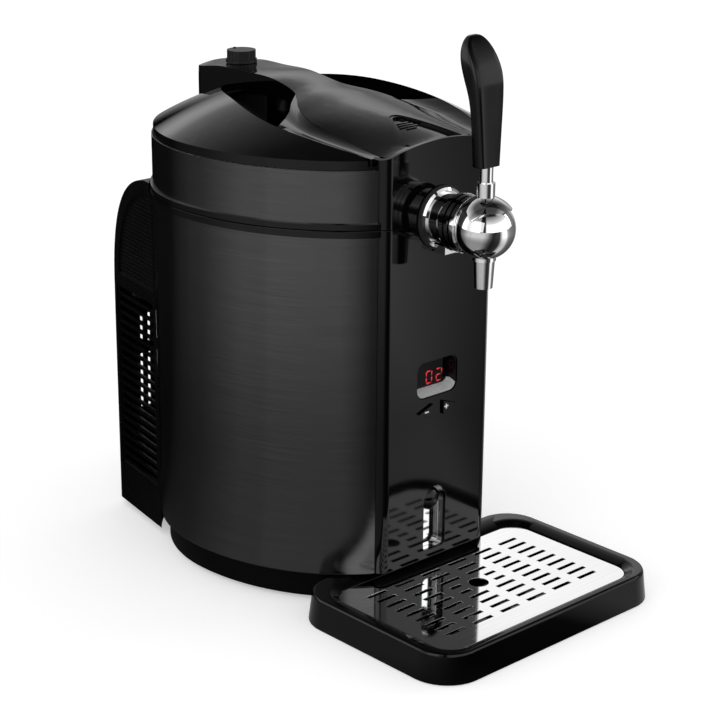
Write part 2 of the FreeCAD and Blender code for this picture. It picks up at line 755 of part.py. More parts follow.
def tap_collar():
    y1 = flange_rear() - FLANGE_T
    barrel = rod_y(TAP_COLLAR_R, -TAP_COLLAR_FRONT, y1, 0, TAP_Z)
    half = LUG_HALF_W + SKIN_GAP
    lug_room = box(-half, half, -TALL, 0, 0, TAP_Z - TAP_COLLAR_R + SKIN_GAP)
    neck = rod_y(NECK_R, -RING_REAR, -TAP_COLLAR_FRONT, 0, TAP_Z)
    joined = fuse_all([barrel.cut(lug_room), neck])
    return joined.cut(rod_y(BORE_R, -TALL, 0, 0, TAP_Z))


def tap_rings():
    """Three polished rings parted by narrow grooves, the last one a little smaller."""
    pieces = []
    for index in range(RING_COUNT):
        y0 = -RING_REAR - index * (RING_T + RING_GROOVE) - RING_T
        radius = RING_R - RING_STEP * index
        pieces.append(rod_y(radius, y0, y0 + RING_T, 0, TAP_Z))
    pieces.append(rod_y(RING_GROOVE_R, -ring_front(), -RING_REAR, 0, TAP_Z))
    joined = fuse_all(pieces)
    ball_room = Part.makeSphere(BALL_R + SKIN_GAP, vec(0, -TAP_Y, TAP_Z))
    return cut_all(joined, [ball_room, rod_y(BORE_R, -TALL, 0, 0, TAP_Z)])


def lever_slot():
    """Groove in the ball for the pin, swept over the lever's swing."""
    half = VALVE_PIN_R + MOVING_GAP
    low = TAP_Z + VALVE_PIN_LOW - 1.0
    spread = math.degrees(math.asin(VALVE_PIN_R / VALVE_PIN_LOW)) + SLOT_MARGIN
    centre = vec(0, -TAP_Y, TAP_Z)
    points = [vec(-half, -TAP_Y, low), vec(half, -TAP_Y, low)]
    points += [vec(half, -TAP_Y, TAP_Z + BALL_R + 5.0), vec(-half, -TAP_Y, TAP_Z + BALL_R + 5.0)]
    face = Part.Face(closed(points))
    face.rotate(centre, vec(1, 0, 0), -spread)
    return face.revolve(centre, vec(1, 0, 0), LEVER_ANGLE + 2.0 * spread)


def tap_ball():
    """Hollow ball body: inlet from the rings, outlet down into the nozzle, slot for the pin."""
    ball = Part.makeSphere(BALL_R, vec(0, -TAP_Y, TAP_Z))
    inlet = rod_y(BORE_R, -TAP_Y, 0, 0, TAP_Z)
    outlet = disc(BORE_R, 0, TAP_Z, 0, -TAP_Y)
    seat = disc(NOZZLE_TOP_R + SKIN_GAP, 0, TAP_Z - BALL_R * 0.86, 0, -TAP_Y)
    return cut_all(ball, [inlet, outlet, lever_slot(), seat])


def tap_nozzle():
    top = TAP_Z - BALL_R * 0.86
    tip = TAP_Z - NOZZLE_LOW
    collar = disc(NOZZLE_TOP_R, top - 4.0, top, 0, -TAP_Y)
    spout = Part.makeCone(NOZZLE_TIP_R, NOZZLE_TOP_R - 0.8, top - 4.0 - tip, vec(0, -TAP_Y, tip))
    bore = disc(NOZZLE_BORE_R, 0, TAP_Z, 0, -TAP_Y)
    return fuse_all([collar, spout]).cut(bore)


def tap_bonnet():
    """Saddle cap that rides over the ball with the lever, with a point on either side."""
    centre = vec(0, -TAP_Y, TAP_Z)
    inner_r = BALL_R + JOINT_GAP
    shell = Part.makeSphere(inner_r + BONNET_T, centre).cut(Part.makeSphere(inner_r, centre))
    edge = TAP_Z + BONNET_EDGE_UP
    point_y = -TAP_Y - BONNET_POINT_FORWARD
    outline = [
        (-TAP_Y - 60.0, edge), (point_y - 6.0, edge), (point_y, edge - BONNET_POINT),
        (point_y + 6.0, edge), (-TAP_Y + 60.0, edge), (-TAP_Y + 60.0, TAP_Z + 60.0),
        (-TAP_Y - 60.0, TAP_Z + 60.0),
    ]
    face = Part.Face(closed([vec(-60, y, z) for y, z in outline]))
    cap = shell.common(face.extrude(vec(120, 0, 0)))
    cap = cap.common(box(-TALL, TALL, -TALL, -ring_front() - MOVING_GAP, 0, TALL))
    return cap.cut(disc(VALVE_PIN_R + PIN_CLEARANCE, TAP_Z, TALL, 0, -TAP_Y))


def tap_stem():
    """Lever stem: a wide foot on the bonnet, a slim rod into the handle, a valve pin below."""
    foot_z = TAP_Z + BALL_R + JOINT_GAP + BONNET_T - 1.2
    foot = disc(STEM_COLLAR_R, foot_z, foot_z + STEM_COLLAR_H, 0, -TAP_Y)
    foot = foot.cut(Part.makeSphere(BALL_R + JOINT_GAP + BONNET_T, vec(0, -TAP_Y, TAP_Z)))
    handle_z = TAP_Z + HANDLE_BOTTOM_UP
    rod = disc(STEM_R, foot_z + STEM_COLLAR_H, handle_z - 0.1, 0, -TAP_Y)
    tenon = disc(STEM_TENON_R, handle_z - 0.1, handle_z + HANDLE_SOCKET, 0, -TAP_Y)
    pin = disc(VALVE_PIN_R, TAP_Z + VALVE_PIN_LOW, foot_z + STEM_COLLAR_H, 0, -TAP_Y)
    return fuse_all([foot, rod, tenon, pin])


def tap_handle():
    """Paddle grip that leans back: lofted sections with small edge radii, closed by a round head."""
    z0 = TAP_Z + HANDLE_BOTTOM_UP
    wires = []
    for share, width, depth, back in HANDLE_SECTIONS:
        y = -TAP_Y + back
        x, half_d = width / 2.0, depth / 2.0
        wires.append(rounded_wire(-x, x, y - half_d, y + half_d, HANDLE_EDGE_R, z0 + share * HANDLE_H))
    paddle = Part.makeLoft(wires, True, False)
    radius = HANDLE_SECTIONS[-1][1] / 2.0
    head_z = z0 + HANDLE_H - radius
    head = rod_y(radius, -TAP_Y - 60.0, -TAP_Y + 60.0, 0, head_z)
    paddle = paddle.common(head.fuse(box(-TALL, TALL, -TALL, TALL, 0, head_z)))
    return paddle.cut(disc(STEM_TENON_R + PIN_CLEARANCE, 0, z0 + HANDLE_SOCKET, 0, -TAP_Y))


def beer_line():
    """Hose pushed on the shank's barb, with the keg coupler at its free end."""
    y0 = -SHANK_REAR + 0.2
    hose = rod_y(HOSE_R, y0, y0 + HOSE_LEN, 0, TAP_Z)
    room = rod_y(BARB_R + 0.8, y0 - 1.0, -SHANK_REAR + 10.4, 0, TAP_Z)
    bore = rod_y(2.2, y0 - 1.0, y0 + HOSE_LEN + 1.0, 0, TAP_Z)
    return hose.cut(room).cut(bore)


def line_coupler():
    y0 = -SHANK_REAR + 0.2 + HOSE_LEN
    barrel = rod_y(HOSE_R + 1.5, y0, y0 + 14.0, 0, TAP_Z)
    spout = disc(4.0, TAP_Z - 12.0, TAP_Z, 0, y0 + 7.0)
    bore = rod_y(2.2, y0 - 1.0, y0 + 8.0, 0, TAP_Z)
    return fuse_all([barrel, spout]).cut(bore)


# ---------------------------------------------------------------- lid
def spine_stations():
    """Half width, edge height and crown of the lid's spine from front to back."""
    shoulder = BAND_Z1 + ARCH_SHOULDER_UP
    front = -PANEL_INNER + SKIN_GAP
    wide = SPINE_HALF_W
    slim = BRIDGE_HALF_W
    rise = BRIDGE_Z - shoulder
    reach = -COLUMN_FRONT
    return [
        (front, wide - 6.0, shoulder, ARCH_RISE - 0.5),
        (0.848 * reach, wide - 4.5, shoulder + 0.047 * rise, ARCH_RISE),
        (0.724 * reach, wide - 4.0, shoulder + 0.127 * rise, ARCH_RISE + 2.0),
        (0.538 * reach, wide - 3.5, shoulder + 0.286 * rise, ARCH_RISE + 1.2),
        (0.407 * reach, wide - 3.5, shoulder + 0.405 * rise, ARCH_RISE - 0.4),
        (0.283 * reach, wide - 8.5, shoulder + 0.528 * rise, 6.2),
        (0.166 * reach, slim + 0.45 * (wide - slim), shoulder + 0.664 * rise, 4.0),
        (0.055 * reach, slim + 4.0, shoulder + 0.77 * rise, 2.2),
        (8.0, slim + 0.6, shoulder + 0.87 * rise, 1.4),
        (28.0, slim, BRIDGE_Z - 1.2, 1.0),
        (60.0, slim, BRIDGE_Z - 1.0, 1.0),
        (96.0, slim, BRIDGE_Z - 1.4, 1.0),
        (BRIDGE_REAR + 6.0, slim, BRIDGE_Z - 3.0, 1.0),
    ]


def smooth(points):
    curve = Part.BSplineCurve()
    curve.interpolate(points)
    return curve.toShape()


def spine_block():
    """Crowned top lofted over the stations, trimmed to the spine's plan."""
    sections = []
    wide = SPINE_HALF_W + 6.0
    for y, half, edge, crown in spine_stations():
        top = edge + crown
        low = top - crown * (wide / half) ** 2
        arc = Part.Arc(vec(wide, y, low), vec(0, y, top), vec(-wide, y, low)).toShape()
        left = Part.makeLine(vec(-wide, y, low), vec(-wide, y, PAN_Z))
        bottom = Part.makeLine(vec(-wide, y, PAN_Z), vec(wide, y, PAN_Z))
        right = Part.makeLine(vec(wide, y, PAN_Z), vec(wide, y, low))
        sections.append(Part.Wire([arc, left, bottom, right]))
    right = [vec(half, y, PAN_Z) for y, half, edge, crown in spine_stations()]
    left = [vec(-half, y, PAN_Z) for y, half, edge, crown in spine_stations()]
    front = Part.makeLine(left[0], right[0])
    rear = Part.makeLine(right[-1], left[-1])
    plan = Part.Wire([front, smooth(right), rear, smooth(left)])
    return Part.makeLoft(sections, True, False).common(prism(plan, TALL))


def bridge_plan(grow):
    """Plan of the bridge with its round rear corners."""
    half = BRIDGE_HALF_W + grow
    y0 = FINGER_GAP_REAR - grow
    return rounded_prism(-half, half, y0 - 40.0, BRIDGE_REAR + grow, 0, TALL, BRIDGE_CORNER_R + grow)


def rear_slope():
    """Wedge behind the bridge that leans its rear wall forward towards the top."""
    lean = 7.0
    points = [
        vec(-60, BRIDGE_REAR, RIM_Z),
        vec(-60, BRIDGE_REAR + 40.0, RIM_Z),
        vec(-60, BRIDGE_REAR + 40.0, BRIDGE_Z + 20.0),
        vec(-60, BRIDGE_REAR - lean * (BRIDGE_Z + 20.0 - RIM_Z) / (BRIDGE_Z - RIM_Z), BRIDGE_Z + 20.0),
    ]
    return Part.Face(closed(points)).extrude(vec(120, 0, 0))


def finger_passage():
    """Passage under the bridge, open on both sides, with round upper corners."""
    radius = 6.0
    y0, y1 = FINGER_GAP_FRONT, FINGER_GAP_REAR
    z1 = BRIDGE_UNDER_Z
    k = radius * (1.0 - math.sqrt(0.5))
    x = -TALL / 2.0
    edges = [
        Part.makeLine(vec(x, y0, PAN_Z - 1.0), vec(x, y0, z1 - radius)),
        Part.Arc(vec(x, y0, z1 - radius), vec(x, y0 + k, z1 - k), vec(x, y0 + radius, z1)).toShape(),
        Part.makeLine(vec(x, y0 + radius, z1), vec(x, y1 - radius, z1)),
        Part.Arc(vec(x, y1 - radius, z1), vec(x, y1 - k, z1 - k), vec(x, y1, z1 - radius)).toShape(),
        Part.makeLine(vec(x, y1, z1 - radius), vec(x, y1, PAN_Z - 1.0)),
        Part.makeLine(vec(x, y1, PAN_Z - 1.0), vec(x, y0, PAN_Z - 1.0)),
    ]
    return Part.Face(Part.Wire(edges)).extrude(vec(TALL, 0, 0))


def release_prism(shrink, z0, z1):
    """Guitar-pick outline of the release button: point to the rear, broad side forward."""
    radius = RELEASE_CORNER_R - shrink
    rear = (0.0, RELEASE_REAR_Y - shrink - radius)
    side = (RELEASE_HALF_W - shrink - radius, RELEASE_FRONT_Y + shrink + radius)
    corners = [rear, side, (-side[0], side[1])]
    discs = [disc(radius, z0, z1, x, y) for x, y in corners]
    strips = []
    for index in range(3):
        ax, ay = corners[index]
        bx, by = corners[(index + 1) % 3]
        length = math.hypot(bx - ax, by - ay)
        nx, ny = (by - ay) / length * radius, -(bx - ax) / length * radius
        points = [vec(ax + nx, ay + ny, z0), vec(bx + nx, by + ny, z0)]
        points += [vec(bx - nx, by - ny, z0), vec(ax - nx, ay - ny, z0)]
        strips.append(Part.Face(closed(points)).extrude(vec(0, 0, z1 - z0)))
    middle = Part.Face(closed([vec(x, y, z0) for x, y in corners])).extrude(vec(0, 0, z1 - z0))
    return fuse_all(discs + strips + [middle])


def lowered(shape, drop):
    copy = shape.copy()
    copy.translate(vec(0, 0, -drop))
    return copy


def lid_spine(block):
    """Spine and bridge in one moulding, with the finger gap, button pocket and knob bore."""
    pocket_depth = RELEASE_SINK + RELEASE_T + RELEASE_TRAVEL + MOVING_GAP
    pocket = release_prism(RELEASE_RIM_W, PAN_Z, TALL).common(block).cut(lowered(block, pocket_depth))
    rim = release_prism(0.0, PAN_Z, TALL).common(block).cut(lowered(block, RELEASE_RIM_SINK))
    stem_hole = disc(SPINDLE_R + JOINT_GAP, 0, TALL, 0, (RELEASE_REAR_Y + RELEASE_FRONT_Y) / 2.0)
    bore = disc(SPINDLE_R + PIN_CLEARANCE, BRIDGE_Z - SPINDLE_L - 1.0, TALL, 0, KNOB_Y)
    outside = box(-60, 60, FINGER_GAP_REAR, TALL, 0, TALL).cut(bridge_plan(0.0))
    return cut_all(block, [finger_passage(), pocket, rim, stem_hole, bore, outside, rear_slope()])


def release_button(block):
    """Plate that follows the spine's crown below its surface, with grip ribs and a dimple."""
    plan = release_prism(RELEASE_RIM_W + 0.4, PAN_Z, TALL)
    plate = plan.common(lowered(block, RELEASE_SINK)).cut(lowered(block, RELEASE_SINK + RELEASE_T))
    ribs = []
    for index in range(4):
        y = RELEASE_REAR_Y - 12.0 - 3.2 * index
        half = 6.0 + 1.6 * index if index < 3 else 5.0
        rib = box(-half, half, y, y + 1.2, PAN_Z, TALL)
        ribs.append(rib.common(lowered(block, RELEASE_SINK - 0.8)).cut(lowered(block, RELEASE_SINK + 0.5)))
    y = (RELEASE_REAR_Y + RELEASE_FRONT_Y) / 2.0
    stem = disc(SPINDLE_R, PAN_Z + RELEASE_TRAVEL + 0.4, TALL, 0, y)
    stem = stem.common(lowered(block, RELEASE_SINK + RELEASE_T - 1.0))
    dimple_x = -RELEASE_HALF_W + RELEASE_CORNER_R + 1.0
    dimple_y = RELEASE_FRONT_Y + RELEASE_CORNER_R + 0.5
    dimple = disc(RELEASE_DIMPLE_R, PAN_Z, TALL, dimple_x, dimple_y)
    dimple = dimple.cut(lowered(block, RELEASE_SINK + RELEASE_DIMPLE_DEPTH))
    return fuse_all([plate, stem] + ribs).cut(dimple)


def rim_point(bearing, inset, z):
    """Point inside the egg's rim, by its bearing from +X towards the front."""
    angle = math.radians(bearing)
    nose = BODY_NOSE if bearing > 0 else BODY_R
    reach = 1.0 / math.hypot(math.cos(angle) / BODY_R, math.sin(angle) / nose) - inset
    return vec(reach * math.cos(angle), -reach * math.sin(angle), z)


def pan_wire(grow, z):
    """Outline of the hand recess between the two wings of the lid."""
    right = [rim_point(bearing, inset - grow, z) for bearing, inset in PAN_OUTLINE]
    left = [vec(-point.x, point.y, z) for point in reversed(right[1:])]
    curve = Part.BSplineCurve()
    curve.interpolate(left + right)
    nose = [right[-1], vec(COLUMN_HALF_W + grow, -BODY_NOSE - 10.0, z)]
    nose += [vec(-COLUMN_HALF_W - grow, -BODY_NOSE - 10.0, z), left[0]]
    return Part.Wire([curve.toShape()] + [Part.makeLine(a, b) for a, b in zip(nose, nose[1:])])


def dome(inset, z0):
    """Shallow dome over the egg, with a short upright lip."""
    radius = BODY_R - DOME_INSET - inset
    rim = RIM_Z - inset * 0.6
    top = RIM_Z + DOME_RISE - inset
    middle_z = rim + (top - rim) * 0.5
    arc = Part.Arc(vec(radius, 0, rim), vec(radius * math.sqrt(0.5), 0, middle_z), vec(0, 0, top))
    edges = [
        Part.makeLine(vec(0, 0, z0), vec(radius, 0, z0)),
        Part.makeLine(vec(radius, 0, z0), vec(radius, 0, rim)),
        arc.toShape(),
        Part.makeLine(vec(0, 0, top), vec(0, 0, z0)),
    ]
    return egg_turn(Part.Wire(edges))


def lid_cover():
    """Two domed wings round a sunken pan; the spine stands in the pan."""
    outer = dome(0.0, BAND_Z1)
    shell = outer.cut(dome(LID_SHELL_T, BAND_Z1 - 1.0))
    pan_block = prism(pan_wire(PAN_WALL, BAND_Z1), TALL).fuse(bridge_plan(PAN_WALL)).common(outer)
    pan_room = prism(pan_wire(0.0, PAN_Z), TALL)
    foot_room = bridge_plan(SKIN_GAP).common(box(-TALL, TALL, 0, TALL, PAN_Z, TALL))
    wings = cut_all(shell.fuse(pan_block), [pan_room, foot_room, column_zone(SKIN_GAP)])
    floor = column_prism(-PANEL_T - SKIN_GAP, BAND_Z1, PAN_Z)
    return fuse_all([wings, floor])


def lid_band():
    ring = egg_prism(0, LIP_Z1, BAND_Z1).cut(egg_prism(-SHEET_T, 0, TALL))
    return ring.cut(column_zone(SKIN_GAP))


def lid_lip():
    ring = egg_prism(COLLAR_PROUD, LID_Z0, LIP_Z1).cut(egg_prism(COLLAR_PROUD - COLLAR_W, 0, TALL))
    return ring.cut(column_zone(SKIN_GAP))


def arch_prism():
    """Everything below the arched top edge of the upper panel."""
    half = COLUMN_HALF_W + 2.0
    shoulder = BAND_Z1 + ARCH_SHOULDER_UP - 1.2
    arc = Part.Arc(vec(half, -TALL / 2, shoulder), vec(0, -TALL / 2, shoulder + ARCH_RISE + 1.0),
                   vec(-half, -TALL / 2, shoulder)).toShape()
    sides = [vec(-half, -TALL / 2, shoulder), vec(-half, -TALL / 2, 0)]
    sides += [vec(half, -TALL / 2, 0), vec(half, -TALL / 2, shoulder)]
    lines = [Part.makeLine(a, b) for a, b in zip(sides, sides[1:])]
    return Part.Face(Part.Wire([arc] + lines)).extrude(vec(0, TALL, 0))


def lid_front():
    """Upper part of the column front, with the half-round notch over the shank."""
    skin = column_skin(LID_Z0, TALL).common(arch_prism())
    pins = latch_pins(LATCH_PIN_R, -PANEL_INNER - 1.0, -CAVITY_REAR - 1.0)
    return fuse_all([skin.cut(shank_channel(SHANK_R + JOINT_GAP + 0.2)), pins])


def lid_insulation():
    low = body_prism(COLLAR_PROUD - COLLAR_W - SKIN_GAP, LID_Z0 + LINER_T + 0.1, LIP_Z1 + 0.1)
    high = body_prism(-DOME_INSET - 1.0, LIP_Z1 + 0.1, BAND_Z1 - JOINT_GAP)
    half = COLUMN_HALF_W - PANEL_T - SKIN_GAP
    cavity = box(-half, half, -BODY_NOSE, -CAVITY_REAR, 0, BAND_Z1 - 5.0)
    room = disc(LID_CAVITY_R + LINER_T + SKIN_GAP, 0, LID_Z0 + LID_CAVITY_H + LINER_T + 0.1)
    return cut_all(fuse_all([low, high]), [cavity, room, shank_channel(SHANK_R + 2.0)])


def lid_liner():
    """Underside plate and the cup over the keg's head in one moulding."""
    plate = body_prism(COLLAR_PROUD - COLLAR_W - SKIN_GAP, LID_Z0, LID_Z0 + LINER_T)
    cup = disc(LID_CAVITY_R + LINER_T, LID_Z0, LID_Z0 + LID_CAVITY_H + LINER_T)
    room = disc(LID_CAVITY_R, 0, LID_Z0 + LID_CAVITY_H)
    tools = [room, shank_channel(SHANK_R + 2.0), latch_slots(MOVING_GAP)]
    return cut_all(fuse_all([plate, cup]), tools)


def lid_seal():
    z0 = SLEEVE_Z1 + DECK_T + JOINT_GAP
    ring = disc(SEAL_R + SEAL_W, z0, LID_Z0).cut(disc(SEAL_R, 0, TALL))
    return ring.cut(box(-SHANK_R - 3.0, SHANK_R + 3.0, -TALL, 0, 0, TALL))


def latch_bar_z():
    return BAND_Z1 - LATCH_BAR_DROP - LATCH_BAR_H / 2.0


def latch_pins(radius, y0, y1):
    return both_sides(rod_y(radius, y0, y1, LATCH_PIN_X, latch_bar_z()))


def latch_hooks():
    """Bar across the lid front, on two guide pins, with hooks that reach down past the seam."""
    y0 = -latch_front()
    x0, x1 = LATCH_X - LATCH_W / 2.0, LATCH_X + LATCH_W / 2.0
    z0, z1 = latch_bar_z() - LATCH_BAR_H / 2.0, latch_bar_z() + LATCH_BAR_H / 2.0
    low = LID_Z0 - LATCH_REACH
    hook = box(x0, x1, y0, y0 + LATCH_T, low, z1)
    nose = box(x0, x1, y0 - LATCH_NOSE, y0, low, low + 2.5)
    bar = box(-x1, x1, y0, y0 + LATCH_T, z0, z1)
    joined = fuse_all([bar, hook, nose, mirrored(hook), mirrored(nose)])
    return joined.cut(latch_pins(LATCH_PIN_R + PIN_CLEARANCE, -BODY_NOSE, 0))


def latch_striker():
    """Ledge on the back of the lower panel that the hooks snap under."""
    y1 = -latch_front() - LATCH_NOSE - JOINT_GAP
    x0, x1 = LATCH_X - LATCH_W / 2.0, LATCH_X + LATCH_W / 2.0
    block = box(x0, x1, -PANEL_INNER, y1, SLEEVE_Z1 - 8.0, SLEEVE_Z1 - SKIN_GAP)
    return both_sides(block)


def regulator_knob():
    """Fluted knob with a foot flange, a pointer nub and its spindle."""
    z0 = BRIDGE_Z + JOINT_GAP
    body = disc(KNOB_R, z0, z0 + KNOB_H, 0, KNOB_Y)
    flutes = []
    for index in range(KNOB_RIBS):
        angle = 2.0 * math.pi * index / KNOB_RIBS
        reach = KNOB_R + 0.5 - KNOB_RIB_DEPTH * 0.2
        x, y = reach * math.cos(angle), KNOB_Y + reach * math.sin(angle)
        flutes.append(disc(KNOB_RIB_DEPTH, z0 + KNOB_FLANGE_H, z0 + KNOB_H + 1.0, x, y))
    body = cut_all(body, flutes)
    flange = disc(KNOB_FLANGE_R, z0, z0 + KNOB_FLANGE_H, 0, KNOB_Y)
    nub = disc(1.2, z0 + KNOB_H, z0 + KNOB_H + 0.8, 0, KNOB_Y + KNOB_R - 3.0)
    spindle = disc(SPINDLE_R, BRIDGE_Z - SPINDLE_L, z0, 0, KNOB_Y)
    return fuse_all([body, flange, nub, spindle])


# ---------------------------------------------------------------- hinge
def knuckle(x0, x1):
    return rod_x(KNUCKLE_R, x0, x1, HINGE_Y, HINGE_Z)


def hinge_body():
    """Three knuckles on a bracket that grips the collar."""
    inner, outer = KNUCKLE_EDGES
    spans = [(-HINGE_HALF_L, -outer - JOINT_GAP), (-inner + JOINT_GAP, inner - JOINT_GAP),
             (outer + JOINT_GAP, HINGE_HALF_L)]
    pieces = []
    for x0, x1 in spans:
        pieces.append(knuckle(x0, x1))
        pieces.append(box(x0, x1, BODY_R * 0.8, HINGE_Y, SLEEVE_Z1 + 0.5, COLLAR_Z1 - 0.2))
    solid = fuse_all(pieces)
    collar_room = egg_prism(COLLAR_PROUD + SKIN_GAP, SLEEVE_Z1 - 1.0, COLLAR_Z1 + 1.0)
    bore = rod_x(HINGE_PIN_R + PIN_CLEARANCE, -TALL, TALL, HINGE_Y, HINGE_Z)
    return cut_all(solid, [collar_room, bore])


def hinge_pin():
    return rod_x(HINGE_PIN_R, -HINGE_HALF_L, HINGE_HALF_L, HINGE_Y, HINGE_Z)


def hinge_lid():
    """Two knuckles on arms that hang from the lid's lip."""
    inner, outer = KNUCKLE_EDGES
    pieces = []
    for x0, x1 in ((-outer, -inner), (inner, outer)):
        pieces.append(knuckle(x0, x1))
        pieces.append(box(x0, x1, BODY_R * 0.8, HINGE_Y, LID_Z0 + 0.2, LIP_Z1))
    solid = fuse_all(pieces)
    lip_room = egg_prism(COLLAR_PROUD + SKIN_GAP, LID_Z0 - 20.0, LIP_Z1 + 1.0)
    bore = rod_x(HINGE_PIN_R + PIN_CLEARANCE, -TALL, TALL, HINGE_Y, HINGE_Z)
    return cut_all(solid, [lip_room, bore])


# ---------------------------------------------------------------- drip tray
def tray_outline(inset, z):
    return rounded_wire(-TRAY_HALF_W + inset, TRAY_HALF_W - inset, -TRAY_FRONT + inset,
                        -TRAY_REAR - inset, TRAY_CORNER_R - inset, z)


def grate_outline(grow, z):
    return rounded_wire(-GRATE_HALF_W - grow, GRATE_HALF_W + grow, -GRATE_FRONT - grow,
                        -GRATE_REAR + grow, GRATE_CORNER_R + grow, z)


def drip_tray():
    """Drafted tub with a rolled edge, a sloping rim, a seat for the grate and a sump."""
    top_edge = TRAY_H - TRAY_EDGE_R
    wall = Part.makeLoft([tray_outline(0.0, 0.0), tray_outline(TRAY_DRAFT, top_edge)], True, True)
    cap = Part.makeLoft([tray_outline(TRAY_DRAFT, top_edge), tray_outline(TRAY_DRAFT + 0.8, TRAY_H - 0.9),
                         tray_outline(TRAY_DRAFT + 2.6, TRAY_H)], True, True)
    seat_z = GRATE_TOP - GRATE_T
    slope = Part.makeLoft([grate_outline(GRATE_FIT, GRATE_TOP), grate_outline(9.0, TRAY_H + 0.4)], True, True)
    recess = prism(grate_outline(GRATE_FIT, seat_z), GRATE_TOP - seat_z)
    sump = prism(grate_outline(-TRAY_LEDGE_W, TRAY_FLOOR_T), TALL)
    return cut_all(fuse_all([wall, cap]), [slope, recess, sump])


def drip_grate():
    plate = prism(grate_outline(0.0, GRATE_TOP - GRATE_T), GRATE_T)
    slots = []
    for column in range(GRATE_COLUMNS):
        x = (column - (GRATE_COLUMNS - 1) / 2.0) * GRATE_SLOT_PITCH_X
        for row in range(GRATE_ROWS):
            y = -GRATE_REAR - GRATE_FIRST_ROW - row * GRATE_SLOT_PITCH_Y
            x0, x1 = x - GRATE_SLOT_L / 2.0, x + GRATE_SLOT_L / 2.0
            near_hole = abs(y + GRATE_HOLE_Y) < GRATE_HOLE_R
            if near_hole and abs(x) < GRATE_SLOT_PITCH_X:
                if x > 0:
                    x0 = GRATE_HOLE_R + 5.5
                else:
                    x1 = -GRATE_HOLE_R - 5.5
            slots.append(box(x0, x1, y - GRATE_SLOT_W / 2.0, y + GRATE_SLOT_W / 2.0, 0, TALL))
    slots.append(disc(GRATE_HOLE_R, 0, TALL, 0, -GRATE_HOLE_Y))
    return cut_all(plate, slots)


# ---------------------------------------------------------------- cooler housing
def housing_plan(inset, z0, z1):
    """Trapezoid that narrows to the rear, with round rear corners."""
    front_x = HOUSING_SIDE_FRONT_X - inset
    rear_x = HOUSING_SIDE_REAR_X - inset
    rear_y = HOUSING_REAR - inset
    points = [vec(-front_x, HOUSING_SIDE_FRONT_Y, z0), vec(-rear_x, rear_y, z0),
              vec(rear_x, rear_y, z0), vec(front_x, HOUSING_SIDE_FRONT_Y, z0)]
    block = Part.Face(closed(points)).extrude(vec(0, 0, z1 - z0))
    rear_edges = [edge for edge in block.Edges if edge.BoundBox.ZLength > 1.0
                  and edge.BoundBox.YMin > HOUSING_SIDE_FRONT_Y + 20.0]
    return block.makeFillet(max(HOUSING_CORNER_R - inset, 1.0), rear_edges)


def housing_profile(inset):
    """Side view: leaning rear wall, long curved shoulder, flat top."""
    rear = HOUSING_REAR - inset
    lean = HOUSING_LEAN
    low = HOUSING_LOW + inset
    shoulder = HOUSING_SHOULDER_Z
    top = HOUSING_TOP - inset
    run = HOUSING_SHOULDER_DEPTH
    x = -TALL / 2.0
    curve = Part.BezierCurve()
    curve.setPoles([
        vec(x, rear - lean, shoulder), vec(x, rear - lean - 1.6, shoulder + 0.55 * (top - shoulder)),
        vec(x, rear - lean - 0.28 * run, top - 6.0), vec(x, rear - lean - run, top),
    ])
    points = [vec(x, rear - lean - run, top), vec(x, HOUSING_SIDE_FRONT_Y - 1.0, top),
              vec(x, HOUSING_SIDE_FRONT_Y - 1.0, low), vec(x, rear, low), vec(x, rear - lean, shoulder)]
    lines = [Part.makeLine(a, b) for a, b in zip(points, points[1:])]
    return Part.Face(Part.Wire([curve.toShape()] + lines)).extrude(vec(TALL, 0, 0))


def side_frame(z0, z1, y0, y1, depth, outwards):
    """Block along one sloping side wall, from its face inwards by depth, outwards a little."""
    run_y = HOUSING_REAR - HOUSING_SIDE_FRONT_Y
    slope = (HOUSING_SIDE_REAR_X - HOUSING_SIDE_FRONT_X) / run_y
    x_at_y0 = HOUSING_SIDE_FRONT_X + slope * (y0 - HOUSING_SIDE_FRONT_Y)
    x_at_y1 = HOUSING_SIDE_FRONT_X + slope * (y1 - HOUSING_SIDE_FRONT_Y)
    points = [vec(x_at_y0 - depth, y0, z0), vec(x_at_y1 - depth, y1, z0),
              vec(x_at_y1 + outwards, y1, z0), vec(x_at_y0 + outwards, y0, z0)]
    return Part.Face(closed(points)).extrude(vec(0, 0, z1 - z0))


